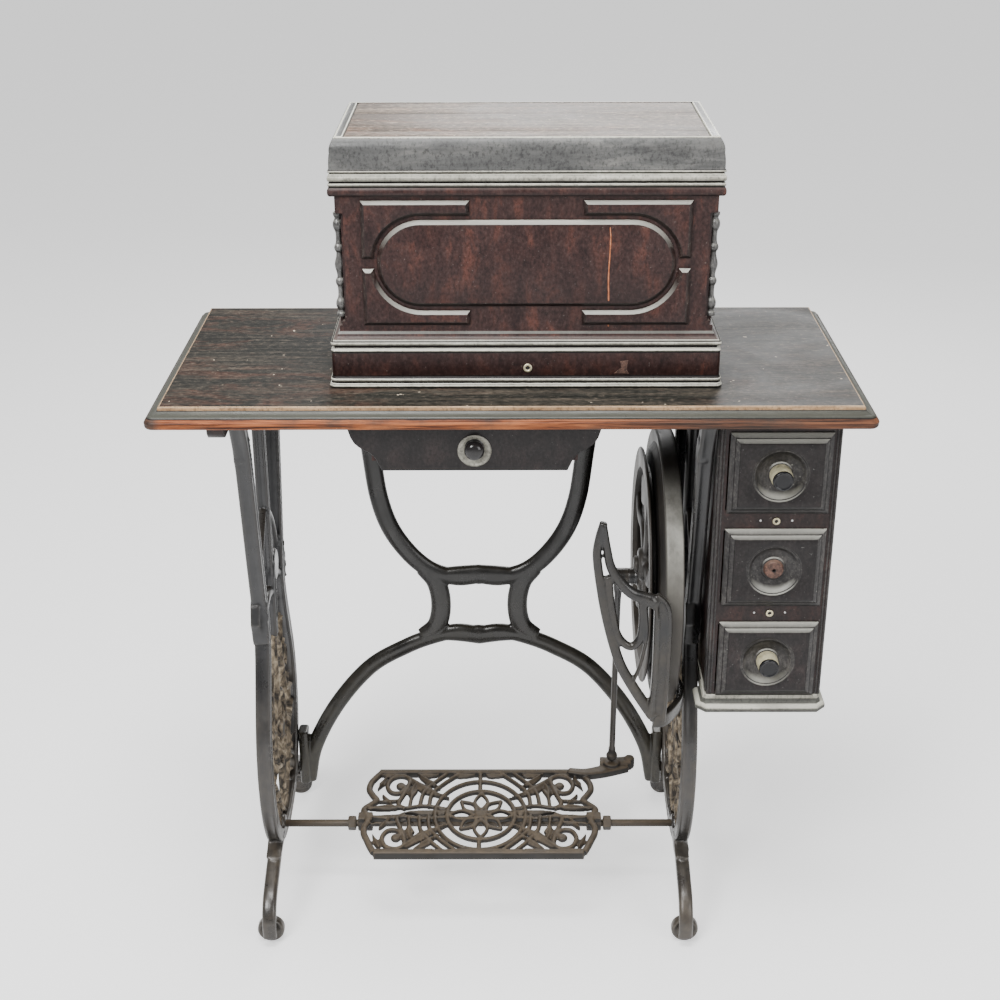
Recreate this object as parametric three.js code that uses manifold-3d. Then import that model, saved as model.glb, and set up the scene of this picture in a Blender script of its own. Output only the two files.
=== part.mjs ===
// Treadle sewing machine on a cast-iron stand, with a lift-off coffin cover and four drawers.
// Millimetres, +Z up, origin on the floor under the middle of the table, front towards -Y.
import * as THREE from 'three';
import { mergeVertices } from 'three/addons/utils/BufferGeometryUtils.js';
import Module from 'manifold-3d';

const wasm = await Module();
wasm.setup();

// ---------------------------------------------------------------- driving dimensions
const GAP = 0.3;                 // air left between pieces that touch
const CORNER_STEPS = 3;          // facets on a rounded corner of a slab
const SLIVER = 0.03;             // edges shorter than this are closed up after a join or cut

const TABLE_WIDTH = 844;
const TABLE_DEPTH = 408;
const TABLE_TOP = 770.5;
const TABLE_UNDER = 746.5;

const COVER_X = 17.6;            // middle of the coffin cover
const COVER_Y = -6.7;
const HEAD_Y = -16.7;            // middle of the sewing head's bed
const COVER_WALL = 7;
const SPLIT_Z = 821.5;           // joint between the fixed base frame and the cover
const LID_Z = 997.5;             // underside of the lid
const COVER_TOP = 1063;
const BASE_INSET = 3;            // how far the base frame's panel sits back from its foot
const FRET_Z = 918.5;            // middle of the oval on the cover's front
const NOTCH_FOOT = 852;          // ends of the corner notches that hold the spindles
const NOTCH_TOP = 977;

const IRON_Y = -5;               // middle of the side irons, front to back
const IRON_THICK = 20;
const LEFT_IRON_X = -322;        // middle planes of the two irons
const RIGHT_IRON_X = 233;
const IRON_TOP = TABLE_UNDER - GAP;
const CASTER_RADIUS = 18;
const CASTER_WIDTH = 14;
const FOOT_REACH = 180;          // iron's middle to the inner face of a foot
const FOOT_THICK = 12;

const BRACE_X = -44;             // mirror plane of the rear brace
const BRACE_Y = 110;
const BRACE_THICK = 14;

const WHEEL_Y = 10;              // flywheel axis, which runs along X
const WHEEL_Z = 470;
const WHEEL_RADIUS = 183;
const RIM_LEFT = 189;
const RIM_RIGHT = 213;
const AXLE_RADIUS = 8;
const CRANK_DY = 22;             // crank pin's offset from the axis
const CRANK_DZ = -29;
const CRANK_RADIUS = 11;

const BELT_X = 180;              // plane of the belt grooves; this machine has lost its belt
const BELT_SLOTS_Y = [-83, 71];  // where the two strands of a belt would cross the table
const HANDWHEEL_Y = -17;
const HANDWHEEL_Z = 972;

const TREADLE_X = -43;
const PIVOT_Y = -62;             // treadle rod
const PIVOT_Z = 105;
const ROD_RADIUS = 5;
const PITMAN_X = 146.5;
const PITMAN_FOOT_Y = 55;        // ball joint on the treadle's arm
const PITMAN_FOOT_Z = 138;
const PITMAN_EYE_RIGHT = 159;    // where the bearing ends and the crank pin begins

const CASE_LEFT = 246;
const CASE_RIGHT = 389;
const CASE_FRONT = -162;
const CASE_BACK = 185;
const CASE_BOTTOM = 372.3;
const DRAWER_X = 318.5;
const DRAWER_BOTTOMS = [624, 499, 372];   // lower edge of each drawer front
const FRONT_WIDTH = 122;
const FRONT_HEIGHT = 104;
const CASE_WALL = 8;

const NEEDLE_X = -148;
const PRESSER_X = -132;
const BED_X = -10;
const BED_WIDTH = 356;
const BED_DEPTH = 170;
const BED_TOP = 773;

// ---------------------------------------------------------------- materials
function paint(color, roughness, metalness) {
  return new THREE.MeshStandardMaterial({ color, roughness, metalness });
}

const DARK_WOOD = paint(0x33262a, 0.55, 0);
const TABLE_WOOD = paint(0x3a342f, 0.6, 0);
const MOULD_WOOD = paint(0x5b5c57, 0.6, 0);
const TRAY_WOOD = paint(0x7a5c3e, 0.75, 0);
const IRON = paint(0x3b3a3a, 0.6, 0.75);
const RUSTY_IRON = paint(0x6d5c4d, 0.75, 0.5);
const WHEEL_IRON = paint(0x8a8983, 0.6, 0.5);
const BRASS = paint(0x9c9576, 0.4, 0.85);
const STEEL = paint(0xa9abab, 0.35, 0.9);
const JAPAN_BLACK = paint(0x101113, 0.3, 0.3);

// ---------------------------------------------------------------- shape helpers
function closed(geometry) {
  // One welded, outward-facing surface with no collapsed triangles.
  geometry.deleteAttribute('normal');
  geometry.deleteAttribute('uv');
  const welded = mergeVertices(geometry, 1e-3);
  const place = welded.attributes.position;
  const source = welded.index.array;
  const kept = [];
  const [a, b, c] = [new THREE.Vector3(), new THREE.Vector3(), new THREE.Vector3()];
  let volume = 0;
  for (let i = 0; i < source.length; i += 3) {
    const [p, q, r] = [source[i], source[i + 1], source[i + 2]];
    if (p === q || q === r || r === p) continue;
    kept.push(p, q, r);
    a.fromBufferAttribute(place, p);
    b.fromBufferAttribute(place, q);
    c.fromBufferAttribute(place, r);
    volume += a.dot(b.cross(c));
  }
  if (volume < 0) kept.reverse();
  welded.setIndex(kept);
  return welded;
}

function toSolid(geometry) {
  const shell = closed(geometry);
  return new wasm.Manifold(new wasm.Mesh({
    numProp: 3,
    vertProperties: new Float32Array(shell.attributes.position.array),
    triVerts: new Uint32Array(shell.index.array),
  }));
}

function toGeometry(solid) {
  const mesh = solid.simplify(SLIVER).getMesh();
  const geometry = new THREE.BufferGeometry();
  geometry.setAttribute('position', new THREE.BufferAttribute(new Float32Array(mesh.vertProperties), 3));
  geometry.setIndex(Array.from(mesh.triVerts));
  return geometry;
}

function join(...geometries) {
  return toGeometry(geometries.map(toSolid).reduce((sum, next) => sum.add(next)));
}

function cut(body, ...tools) {
  return toGeometry(tools.map(toSolid).reduce((rest, tool) => rest.subtract(tool), toSolid(body)));
}

function box(x0, x1, y0, y1, z0, z1) {
  const geometry = new THREE.BoxGeometry(x1 - x0, y1 - y0, z1 - z0);
  return geometry.translate((x0 + x1) / 2, (y0 + y1) / 2, (z0 + z1) / 2);
}

// Bases that carry a flat shape (across, up) and its depth onto the object's axes.
const FACING = {
  X: new THREE.Matrix4().makeBasis(
    new THREE.Vector3(0, 1, 0), new THREE.Vector3(0, 0, 1), new THREE.Vector3(1, 0, 0)),
  Y: new THREE.Matrix4().makeBasis(
    new THREE.Vector3(1, 0, 0), new THREE.Vector3(0, 0, 1), new THREE.Vector3(0, -1, 0)),
  Z: new THREE.Matrix4(),
};

function plate(shape, facing, from, to, curveSegments = 6) {
  // Flat shape of (Y, Z) facing X, (X, Z) facing Y or (X, Y) facing Z, filled from one plane to another.
  const geometry = new THREE.ExtrudeGeometry(shape, {
    depth: to - from, bevelEnabled: false, curveSegments,
  });
  geometry.translate(0, 0, facing === 'Y' ? -to : from);
  return geometry.applyMatrix4(FACING[facing]);
}

function polygon(points) {
  return new THREE.Shape(points.map(([across, up]) => new THREE.Vector2(across, up)));
}

function ribbon(points, width, steps = 16, endWidth = width) {
  // A bar of the given width along a smooth centreline.
  const path = new THREE.SplineCurve(points.map(([across, up]) => new THREE.Vector2(across, up)));
  const left = [];
  const right = [];
  for (let i = 0; i <= steps; i += 1) {
    const share = i / steps;
    const half = THREE.MathUtils.lerp(width, endWidth, share) / 2;
    const centre = path.getPointAt(share);
    const along = path.getTangentAt(share);
    left.push([centre.x - along.y * half, centre.y + along.x * half]);
    right.unshift([centre.x + along.y * half, centre.y - along.x * half]);
  }
  return polygon([...left, ...right]);
}

function mirrored(points, middle) {
  return points.map(([across, up]) => [2 * middle - across, up]);
}

function ring(centreAcross, centreUp, radiusAcross, radiusUp, width) {
  const shape = new THREE.Shape();
  shape.absellipse(centreAcross, centreUp, radiusAcross + width / 2, radiusUp + width / 2, 0, 2 * Math.PI);
  const hole = new THREE.Path();
  hole.absellipse(centreAcross, centreUp, radiusAcross - width / 2, radiusUp - width / 2, 0, 2 * Math.PI);
  shape.holes.push(hole);
  return shape;
}

const TURN_TO = {
  X: (geometry) => geometry.rotateZ(-Math.PI / 2),
  Y: (geometry) => geometry,
  Z: (geometry) => geometry.rotateX(Math.PI / 2),
};

function cylinder(axis, radius, from, to, centre, segments = 16) {
  // Centre gives the two other coordinates in X, Y, Z order.
  const geometry = new THREE.CylinderGeometry(radius, radius, to - from, segments);
  TURN_TO[axis](geometry);
  const middle = (from + to) / 2;
  const [first, second] = centre;
  const place = { X: [middle, first, second], Y: [first, middle, second], Z: [first, second, middle] }[axis];
  return geometry.translate(...place);
}

function turned(axis, profile, centre, segments = 24) {
  // Profile of [radius, distance along the axis]; a solid one starts and ends at radius 0.
  const geometry = new THREE.LatheGeometry(profile.map(([r, h]) => new THREE.Vector2(r, h)), segments);
  if (axis === 'X') geometry.rotateZ(-Math.PI / 2);
  if (axis === 'Z') geometry.rotateX(Math.PI / 2);
  return geometry.translate(...centre);
}

function slabRing(width, depth, radius, z) {
  const points = [];
  for (let corner = 0; corner < 4; corner += 1) {
    const signX = corner === 0 || corner === 3 ? 1 : -1;
    const signY = corner < 2 ? 1 : -1;
    for (let step = 0; step <= CORNER_STEPS; step += 1) {
      const angle = Math.PI / 2 * (corner + step / CORNER_STEPS);
      points.push(new THREE.Vector3(
        signX * (width / 2 - radius) + radius * Math.cos(angle),
        signY * (depth / 2 - radius) + radius * Math.sin(angle),
        z,
      ));
    }
  }
  return points;
}

function slab(width, depth, centreX, centreY, profile, radius = 4) {
  // A moulded board: profile is a list of [inset, height] from the bottom face to the top face.
  const rings = profile.map(([inset, z]) => (
    slabRing(width - 2 * inset, depth - 2 * inset, Math.max(radius - inset, 0.5), z)));
  const count = rings[0].length;
  const positions = rings.flat().flatMap((point) => [point.x + centreX, point.y + centreY, point.z]);
  const index = [];
  for (let level = 0; level + 1 < rings.length; level += 1) {
    for (let i = 0; i < count; i += 1) {
      const low = level * count + i;
      const next = level * count + (i + 1) % count;
      index.push(low, next, next + count, low, next + count, low + count);
    }
  }
  const top = (rings.length - 1) * count;
  for (let i = 1; i + 1 < count; i += 1) {
    index.push(0, i + 1, i);
    index.push(top, top + i, top + i + 1);
  }
  const geometry = new THREE.BufferGeometry();
  geometry.setAttribute('position', new THREE.Float32BufferAttribute(positions, 3));
  geometry.setIndex(index);
  return geometry;
}

const machine = new THREE.Group();

function piece(name, geometry, material) {
  const mesh = new THREE.Mesh(closed(geometry), material);
  mesh.name = name;
  machine.add(mesh);
}

// ---------------------------------------------------------------- table
function addTable() {
  const edge = [
    [9, TABLE_UNDER], [3, 748.5], [0, 753], [1, 757], [5, 760], [6, 762], [12, 765.5], [15.5, 766], [16, TABLE_TOP],
  ];
  const board = slab(TABLE_WIDTH, TABLE_DEPTH, 0, 0, edge, 9);
  const slots = BELT_SLOTS_Y.map((y) => box(BELT_X - 8, BELT_X + 8, y - 9, y + 9, 740, 780));
  const bedWell = box(
    BED_X - BED_WIDTH / 2 - 1, BED_X + BED_WIDTH / 2 + 1,
    HEAD_Y - BED_DEPTH / 2 - 1, HEAD_Y + BED_DEPTH / 2 + 1, 740, 780);
  piece('table_top', cut(board, bedWell, ...slots), TABLE_WOOD);
  piece('left_cleat', plate(
    polygon([[-190, 738], [-178, 728], [180, 728], [190, 738], [190, IRON_TOP], [-190, IRON_TOP]]),
    'X', -352, LEFT_IRON_X - IRON_THICK / 2 - GAP), DARK_WOOD);
}

// ---------------------------------------------------------------- coffin cover
function hollow(body, halfX, halfY, z0, z1) {
  return cut(body, box(COVER_X - halfX, COVER_X + halfX, COVER_Y - halfY, COVER_Y + halfY, z0, z1));
}

function addCover() {
  const bodyWidth = 436;
  const bodyDepth = 215;
  const baseDepth = 242.5;
  const innerX = bodyWidth / 2 - COVER_WALL;
  const innerY = bodyDepth / 2 - COVER_WALL;
  const front = COVER_Y - bodyDepth / 2;
  const base = slab(462, baseDepth, COVER_X, COVER_Y, [
    [0, TABLE_TOP + GAP], [0, 776], [2, 777.5], [2, 781], [BASE_INSET, 783.5], [BASE_INSET, 814],
    [4.5, 817], [6, SPLIT_Z - 2], [8, SPLIT_Z - 0.5],
  ], 7);
  piece('cover_base', hollow(base, innerX, innerY, 760, 830), DARK_WOOD);
  addCoverBody(bodyWidth, bodyDepth, innerX, innerY, front);
  const lid = slab(450, 229, COVER_X, COVER_Y, [
    [0, LID_Z], [0, 1008], [1, 1010], [1, 1020], [-1, 1023], [1, 1026], [1.2, 1038], [2.7, 1050],
    [6, COVER_TOP - 6],
  ], 3);
  piece('cover_lid', hollow(lid, innerX, innerY, LID_Z - 5, COVER_TOP - 14), DARK_WOOD);
  const topZ = COVER_TOP - 6 + GAP;
  const topDepth = 212;
  piece('cover_top_board',
    slab(414, topDepth, COVER_X, COVER_Y, [[0, topZ], [0, COVER_TOP - 1], [1, COVER_TOP]], 1), TABLE_WOOD);
  for (const side of [-1, 1]) {
    const name = side < 0 ? 'left' : 'right';
    piece(`cover_top_strip_${name}`, slab(8.6, topDepth, COVER_X + side * 211.7, COVER_Y,
      [[0, topZ], [0, COVER_TOP - 2], [1, COVER_TOP]], 1), TABLE_WOOD);
    addSpindle(name, COVER_X + side * 216, front + 10.2);
  }
  addFrets(front);
  piece('cover_keyhole_ring', turned('Y', [[2.4, 0], [5.4, 0], [5.4, 1.8], [2.4, 1.8], [2.4, 0]],
    [COVER_X + 2, COVER_Y - baseDepth / 2 + BASE_INSET - 1.8 - GAP, 795], 16), BRASS);
}

function addCoverBody(width, depth, innerX, innerY, front) {
  // Walls that flare out at the foot, with posts in the front corners notched for the spindles.
  const walls = hollow(slab(width, depth, COVER_X, COVER_Y, [
    [-10, SPLIT_Z], [-10, SPLIT_Z + 4], [-7, SPLIT_Z + 9], [-2, SPLIT_Z + 13], [0, SPLIT_Z + 15],
    [0, LID_Z - GAP],
  ], 3), innerX, innerY, SPLIT_Z - 5, LID_Z + 5);
  const posts = [];
  const notches = [];
  for (const side of [-1, 1]) {
    const [near, far] = [COVER_X + side * 202, COVER_X + side * (innerX + 1)];
    posts.push(box(Math.min(near, far), Math.max(near, far), front + 5, front + 26, SPLIT_Z, LID_Z - GAP));
    const outline = [[209, NOTCH_TOP], [209, NOTCH_FOOT], [213, 845], [218, 839], [232, 838],
      [232, NOTCH_TOP]];
    notches.push(plate(polygon(outline.map(([across, z]) => [COVER_X + side * across, z])),
      'Y', front - 14, front + 18));
  }
  piece('cover_body', cut(join(walls, ...posts), ...notches), DARK_WOOD);
}

function addSpindle(name, x, y) {
  const beads = [
    [0, 0], [5, 0], [5, 5], [3.5, 8], [6, 15], [3.2, 22], [2.8, 36], [5, 42], [5, 45], [2.8, 50], [6, 62],
    [2.8, 74], [5, 79], [5, 82], [2.8, 88], [3.2, 102], [6, 109], [3.5, 116], [5, 119], [5, 124], [0, 124],
  ];
  piece(`cover_spindle_${name}`, turned('Z', beads, [x, y, NOTCH_FOOT + 0.5], 10), DARK_WOOD);
}

function ovalHalf(radius, reach, side) {
  // Right or left round end of a long oval, going round anticlockwise.
  const points = [];
  for (let step = 0; step <= 12; step += 1) {
    const angle = THREE.MathUtils.degToRad((side > 0 ? -90 : 90) + 180 * step / 12);
    points.push([COVER_X + side * reach + radius * Math.cos(angle), FRET_Z + radius * Math.sin(angle)]);
  }
  return points;
}

function addFrets(face) {
  // A raised oval panel on the front, and four corner blocks whose inner edges follow it.
  const halfHeight = 73.5;
  const halfWidth = 189;
  const ovalRadius = 56;
  const ovalReach = 120;
  const innerEnd = 65;
  const sideGap = 6;
  const thick = 6;
  for (const [name, sideX, sideZ] of [
    ['top_left', -1, 1], ['top_right', 1, 1], ['bottom_left', -1, -1], ['bottom_right', 1, -1],
  ]) {
    const outline = [[innerEnd, halfHeight], [halfWidth, halfHeight], [halfWidth, sideGap]];
    for (let step = 0; step <= 8; step += 1) {
      const angle = THREE.MathUtils.degToRad(6 + 84 * step / 8);
      outline.push([ovalReach + ovalRadius * Math.cos(angle), ovalRadius * Math.sin(angle)]);
    }
    outline.push([innerEnd, ovalRadius]);
    const placed = outline.map(([across, up]) => [COVER_X + sideX * across, FRET_Z + sideZ * up]);
    piece(`cover_fret_${name}`, plate(polygon(placed), 'Y', face - thick, face - GAP), DARK_WOOD);
  }
  const panel = [...ovalHalf(ovalRadius - 5, ovalReach + 1, 1), ...ovalHalf(ovalRadius - 5, ovalReach + 1, -1)];
  piece('cover_oval_panel', plate(polygon(panel), 'Y', face - thick, face - GAP), DARK_WOOD);
}

// ---------------------------------------------------------------- centre drawer
function addCentreDrawer() {
  const front = -170;
  const back = 60;
  const half = 106;
  const outline = (side) => [
    [150, 744], [147, 730], [143, 719.5], [137, 712.5], [129, 708], [121, 703.5], [116, 697], [112.5, 690],
    [109.5, 682.5],
  ].map(([across, z]) => [side * across, z]);
  const face = [...outline(-1), ...outline(1).reverse()].map(([across, z]) => [TREADLE_X + across, z]);
  piece('center_drawer_front', plate(polygon(face), 'Y', front, front + 12), DARK_WOOD);
  const tray = cut(
    box(TREADLE_X - half, TREADLE_X + half, front + 12 + GAP, back, 688, 738),
    box(TREADLE_X - half + 6, TREADLE_X + half - 6, front + 19, back - 6, 693, 745));
  piece('center_drawer_tray', tray, TRAY_WOOD);
  piece('center_drawer_knob', turned('Y', [
    [0, -19], [6, -18], [10, -14.5], [11, -10.5], [9, -6], [5, -4], [6, -2.5], [12, -2], [12, 0], [0, 0],
  ], [TREADLE_X, front - GAP, 713], 20), DARK_WOOD);
  for (const side of [-1, 1]) {
    const inner = TREADLE_X + side * (half + 2);
    const outer = TREADLE_X + side * (half + 16);
    piece(`center_drawer_runner_${side < 0 ? 'left' : 'right'}`,
      box(Math.min(inner, outer), Math.max(inner, outer), front + 14, back + 6, 690, TABLE_UNDER - GAP), DARK_WOOD);
  }
}

// ---------------------------------------------------------------- side drawers
function addSideDrawers() {
  const shell = box(CASE_LEFT, CASE_RIGHT, CASE_FRONT, CASE_BACK, CASE_BOTTOM, TABLE_UNDER - GAP);
  const bays = DRAWER_BOTTOMS.map((bottom) => box(CASE_LEFT + CASE_WALL + 2, CASE_RIGHT - CASE_WALL - 2,
    CASE_FRONT - 10, CASE_BACK - CASE_WALL, bottom + 3, bottom + FRONT_HEIGHT - 3));
  piece('side_case', cut(shell, ...bays), DARK_WOOD);
  const base = slab(164, 372, (CASE_LEFT + CASE_RIGHT) / 2 - 2, CASE_FRONT + 176, [
    [0, 351], [0, 356], [6, 359], [5, 364], [9, 372],
  ], 12);
  const ironEdge = RIGHT_IRON_X + IRON_THICK / 2 + 1;
  piece('side_case_base', cut(base, box(ironEdge - 20, ironEdge, -125, 220, 340, 380)), MOULD_WOOD);
  DRAWER_BOTTOMS.forEach((bottom, i) => addSideDrawer(i + 1, bottom));
  DRAWER_BOTTOMS.slice(0, 2).forEach((bottom, i) => {
    piece(`rail_keyhole_ring_${i + 1}`, turned('Y', [[2, 0], [4.5, 0], [4.5, 1.6], [2, 1.6], [2, 0]],
      [DRAWER_X, CASE_FRONT - 1.6 - GAP, bottom - 11], 14), BRASS);
  });
}

function addSideDrawer(number, bottom) {
  const middleZ = bottom + FRONT_HEIGHT / 2;
  const front = CASE_FRONT - 10;
  const face = slab(FRONT_WIDTH, FRONT_HEIGHT, 0, 0, [[0, 0], [0, 3], [4, 4], [8, 9.7]], 1);
  face.applyMatrix4(FACING.Y).translate(DRAWER_X, CASE_FRONT - GAP, middleZ);
  const dish = turned('Y', [[0, 4.5], [20, 4], [29, 0], [33, -6], [0, -6]], [DRAWER_X, front, middleZ], 24);
  piece(`side_drawer_front_${number}`, cut(face, dish), DARK_WOOD);
  const half = 59;
  const back = CASE_BACK - CASE_WALL - 4;
  piece(`side_drawer_tray_${number}`, cut(
    box(DRAWER_X - half + 1, DRAWER_X + half - 3, CASE_FRONT + GAP, back, bottom + 4, bottom + 92),
    box(DRAWER_X - half + 6, DRAWER_X + half - 8, CASE_FRONT + 8, back - 5, bottom + 8, bottom + 100)), TRAY_WOOD);
  if (number !== 2) {
    piece(`side_drawer_knob_${number}`, turned('Y', [
      [0, -18], [6, -17.5], [9.5, -14], [9.5, -8], [6, -4], [6, 4.1], [0, 4.1],
    ], [DRAWER_X, front, middleZ], 18), BRASS);
  }
}

// ---------------------------------------------------------------- side irons and casters
const ARM = [[150, 738], [128, 690], [113, 620], [98, 540], [84, 470], [76, 428], [84, 385], [104, 335],
  [124, 280], [130, 225], [122, 170], [98, 120], [60, 92], [0, 82]];
const LEG = [[56, 96], [100, 88], [140, 74], [170, 60], [FOOT_REACH + 6, 38], [FOOT_REACH + 6, 12]];

function addIron(name, x) {
  const from = x - IRON_THICK / 2;
  const to = x + IRON_THICK / 2;
  const bars = [plate(polygon([[-164, 738], [154, 738], [154, IRON_TOP], [-164, IRON_TOP]]), 'X', from, to)];
  for (const side of [-1, 1]) {
    const across = (points) => points.map(([u, z]) => [IRON_Y + side * u, z]);
    bars.push(plate(ribbon(across(ARM), 20, 20), 'X', from, to));
    bars.push(plate(ribbon(across(LEG), 18, 9, FOOT_THICK), 'X', from, to));
    bars.push(plate(ribbon(across([[74, 428], [40, 444], [0, 440]]), 16, 6), 'X', from + 3, to - 3));
    bars.push(plate(ribbon(across([[118, 225], [70, 250], [40, 330], [4, 372]]), 9, 6), 'X', from + 5, to - 5));
    bars.push(plate(ribbon(across([[118, 200], [76, 180], [44, 130], [6, 90]]), 9, 6), 'X', from + 5, to - 5));
  }
  bars.push(plate(polygon([[IRON_Y - 8, 372], [IRON_Y + 8, 372], [IRON_Y + 8, 742], [IRON_Y - 8, 742]]),
    'X', from + 2, to - 2));
  bars.push(plate(polygon([[IRON_Y - 5, 86], [IRON_Y + 5, 86], [IRON_Y + 5, 376], [IRON_Y - 5, 376]]),
    'X', from + 5, to - 5));
  bars.push(plate(ring(IRON_Y, 225, 46, 56, 9), 'X', from + 5, to - 5, 7));
  bars.push(cylinder('X', 24, from, to, [WHEEL_Y, WHEEL_Z], 16));
  bars.push(cylinder('X', 14, from, to, [PIVOT_Y, PIVOT_Z], 16));
  const bores = [cylinder('X', ROD_RADIUS + GAP, from - 5, to + 5, [PIVOT_Y, PIVOT_Z], 12)];
  for (const side of [-1, 1]) {
    const inner = IRON_Y + side * (FOOT_REACH - 4);
    const outer = IRON_Y + side * (FOOT_REACH + 20);
    bores.push(cylinder('Y', 4 + GAP, Math.min(inner, outer), Math.max(inner, outer), [x, CASTER_RADIUS], 12));
  }
  piece(`${name}_iron`, cut(join(...bars), ...bores), IRON);
}

function addCaster(name, x, side) {
  // Side is -1 at the front foot and 1 at the rear foot; the wheel sits inboard of the foot.
  const footFace = IRON_Y + side * FOOT_REACH;
  const toward = (distance) => side * distance;
  const profile = [
    [0, toward(-0.8 - CASTER_WIDTH)], [CASTER_RADIUS - 3, toward(-0.8 - CASTER_WIDTH)],
    [CASTER_RADIUS, toward(-CASTER_WIDTH + 2)], [CASTER_RADIUS, toward(-3)],
    [CASTER_RADIUS - 3, toward(-0.8)], [4, toward(-0.8)], [4, toward(FOOT_THICK - 1)], [0, toward(FOOT_THICK - 1)],
  ];
  piece(`caster_${name}`, turned('Y', profile, [x, footFace, CASTER_RADIUS], 24), IRON);
}

function addIrons() {
  for (const [name, x] of [['left', LEFT_IRON_X], ['right', RIGHT_IRON_X]]) {
    addIron(name, x);
    addCaster(`front_${name}`, x, -1);
    addCaster(`rear_${name}`, x, 1);
  }
}

// ---------------------------------------------------------------- rear brace
function addBrace() {
  const strands = [
    { path: [[-200, IRON_TOP - 1], [-197, 660], [-189, 587], [-181, 524], [-166, 476], [-140, 436], [-110, 410],
      [-75, 400], [BRACE_X, 403]], width: 23, steps: 18 },
    { path: [[-110, 408], [-100, 385], [-98, 357], [-101, 330], [-114, 312]], width: 21, steps: 6 },
    { path: [[BRACE_X, 309], [-75, 313], [-110, 305], [-150, 288], [-202, 255], [-252, 193], [-288, 122],
      [-301, 62]], width: 22, steps: 16 },
  ];
  const bars = strands.flatMap(({ path, width, steps }) => [path, mirrored(path, BRACE_X)].map(
    (points) => plate(ribbon(points, width, steps), 'Y', BRACE_Y - BRACE_THICK / 2, BRACE_Y + BRACE_THICK / 2)));
  const ends = [
    box(LEFT_IRON_X + IRON_THICK / 2 + GAP, -300, 96, 124, 62, 150),
    box(212, RIGHT_IRON_X - IRON_THICK / 2 - GAP, 96, 124, 62, 150),
  ];
  piece('rear_brace', join(...bars, ...ends), IRON);
}

// ---------------------------------------------------------------- flywheel, crank and axle
function addFlywheel() {
  const rim = turned('X', [
    [163, RIM_LEFT], [WHEEL_RADIUS - 3, RIM_LEFT], [WHEEL_RADIUS, RIM_LEFT + 3], [WHEEL_RADIUS, RIM_RIGHT - 3],
    [WHEEL_RADIUS - 3, RIM_RIGHT], [168, RIM_RIGHT], [163, RIM_RIGHT - 5], [163, RIM_LEFT],
  ], [0, WHEEL_Y, WHEEL_Z], 36);
  const beltRing = turned('X', [
    [127, 172], [155, 172], [155, 175.5], [134, 176.5], [134, 183.5], [155, 184.5], [155, 187], [127, 188],
    [127, 172],
  ], [0, WHEEL_Y, WHEEL_Z], 36);
  const spokes = [];
  for (let i = 0; i < 5; i += 1) {
    const turn = (2 * Math.PI * i) / 5 + 0.35;
    const placed = (points) => points.map(([out, aside]) => [
      WHEEL_Y + out * Math.cos(turn) - aside * Math.sin(turn),
      WHEEL_Z + out * Math.sin(turn) + aside * Math.cos(turn),
    ]);
    spokes.push(plate(ribbon(placed([[14, 0], [55, 14], [95, -6], [131, 2]]), 20, 5, 14), 'X', 176, 186));
    spokes.push(plate(ribbon(placed([[131, 2], [150, 4], [166, 4]]), 14, 3), 'X', 184.5, 196));
  }
  const hub = cylinder('X', 22, 172, 212, [WHEEL_Y, WHEEL_Z], 20);
  const boss = cylinder('X', 20, 172, 190, [WHEEL_Y + CRANK_DY, WHEEL_Z + CRANK_DZ], 16);
  const weight = plate(ribbon([[-92, 40], [-102, 0], [-92, -40]].map(([u, v]) => [WHEEL_Y + v, WHEEL_Z - u]),
    44, 8), 'X', 175, 187);
  const bore = cylinder('X', AXLE_RADIUS + GAP, 160, 220, [WHEEL_Y, WHEEL_Z], 16);
  piece('flywheel', cut(join(rim, beltRing, ...spokes, hub, boss, weight), bore), WHEEL_IRON);
  piece('crank_pin', cylinder('X', CRANK_RADIUS, PITMAN_EYE_RIGHT + GAP, 172 - GAP,
    [WHEEL_Y + CRANK_DY, WHEEL_Z + CRANK_DZ], 16), IRON);
  const axleEnd = RIGHT_IRON_X - IRON_THICK / 2 - GAP;
  piece('wheel_axle', turned('X', [
    [0, 164], [9, 164], [11, 166], [11, 171], [AXLE_RADIUS, 171], [AXLE_RADIUS, 214], [15, 214], [15, axleEnd],
    [0, axleEnd],
  ], [0, WHEEL_Y, WHEEL_Z], 20), STEEL);
}

// ---------------------------------------------------------------- treadle and pitman
const PLATE_LOW = 110.6;
const PLATE_HIGH = 119;
const PLATE_MIDDLE = -50;

function treadleStrokes() {
  const at = (points) => points.map(([u, y]) => [TREADLE_X + u, y]);
  const both = (points) => [at(points), at(points.map(([u, y]) => [-u, y]))];
  const strokes = [];
  const add = (paths, width, steps) => paths.forEach((path) => strokes.push(ribbon(path, width, steps)));
  add([at([[-146, -144], [0, -144], [146, -144]])], 12, 2);
  add([at([[-145, 44], [0, 44], [145, 44]])], 11, 2);
  add(both([[140, -142], [149, -128], [154, -108], [157, -84], [161, -62], [157, -44], [146, -26], [153, -4],
    [153, 18], [143, 42]]), 9, 14);
  add(both([[140, -140], [112, -98], [100, -50], [112, 0], [144, 42]]), 7, 8);
  add(both([[100, -50], [140, -64], [164, -62]]), 8, 3);
  add(both([[104, -96], [132, -94], [150, -112]]), 7, 3);
  add(both([[106, -2], [134, -2], [154, 18]]), 7, 3);
  add([at([[-100, -50], [0, -50], [100, -50]])], 6, 2);
  add([at([[0, -140], [0, -50], [0, 40]])], 6, 2);
  add(both([[36, -92], [60, -120], [70, -140]]), 6, 3);
  add(both([[36, -8], [60, 20], [70, 40]]), 6, 3);
  return strokes;
}

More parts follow.
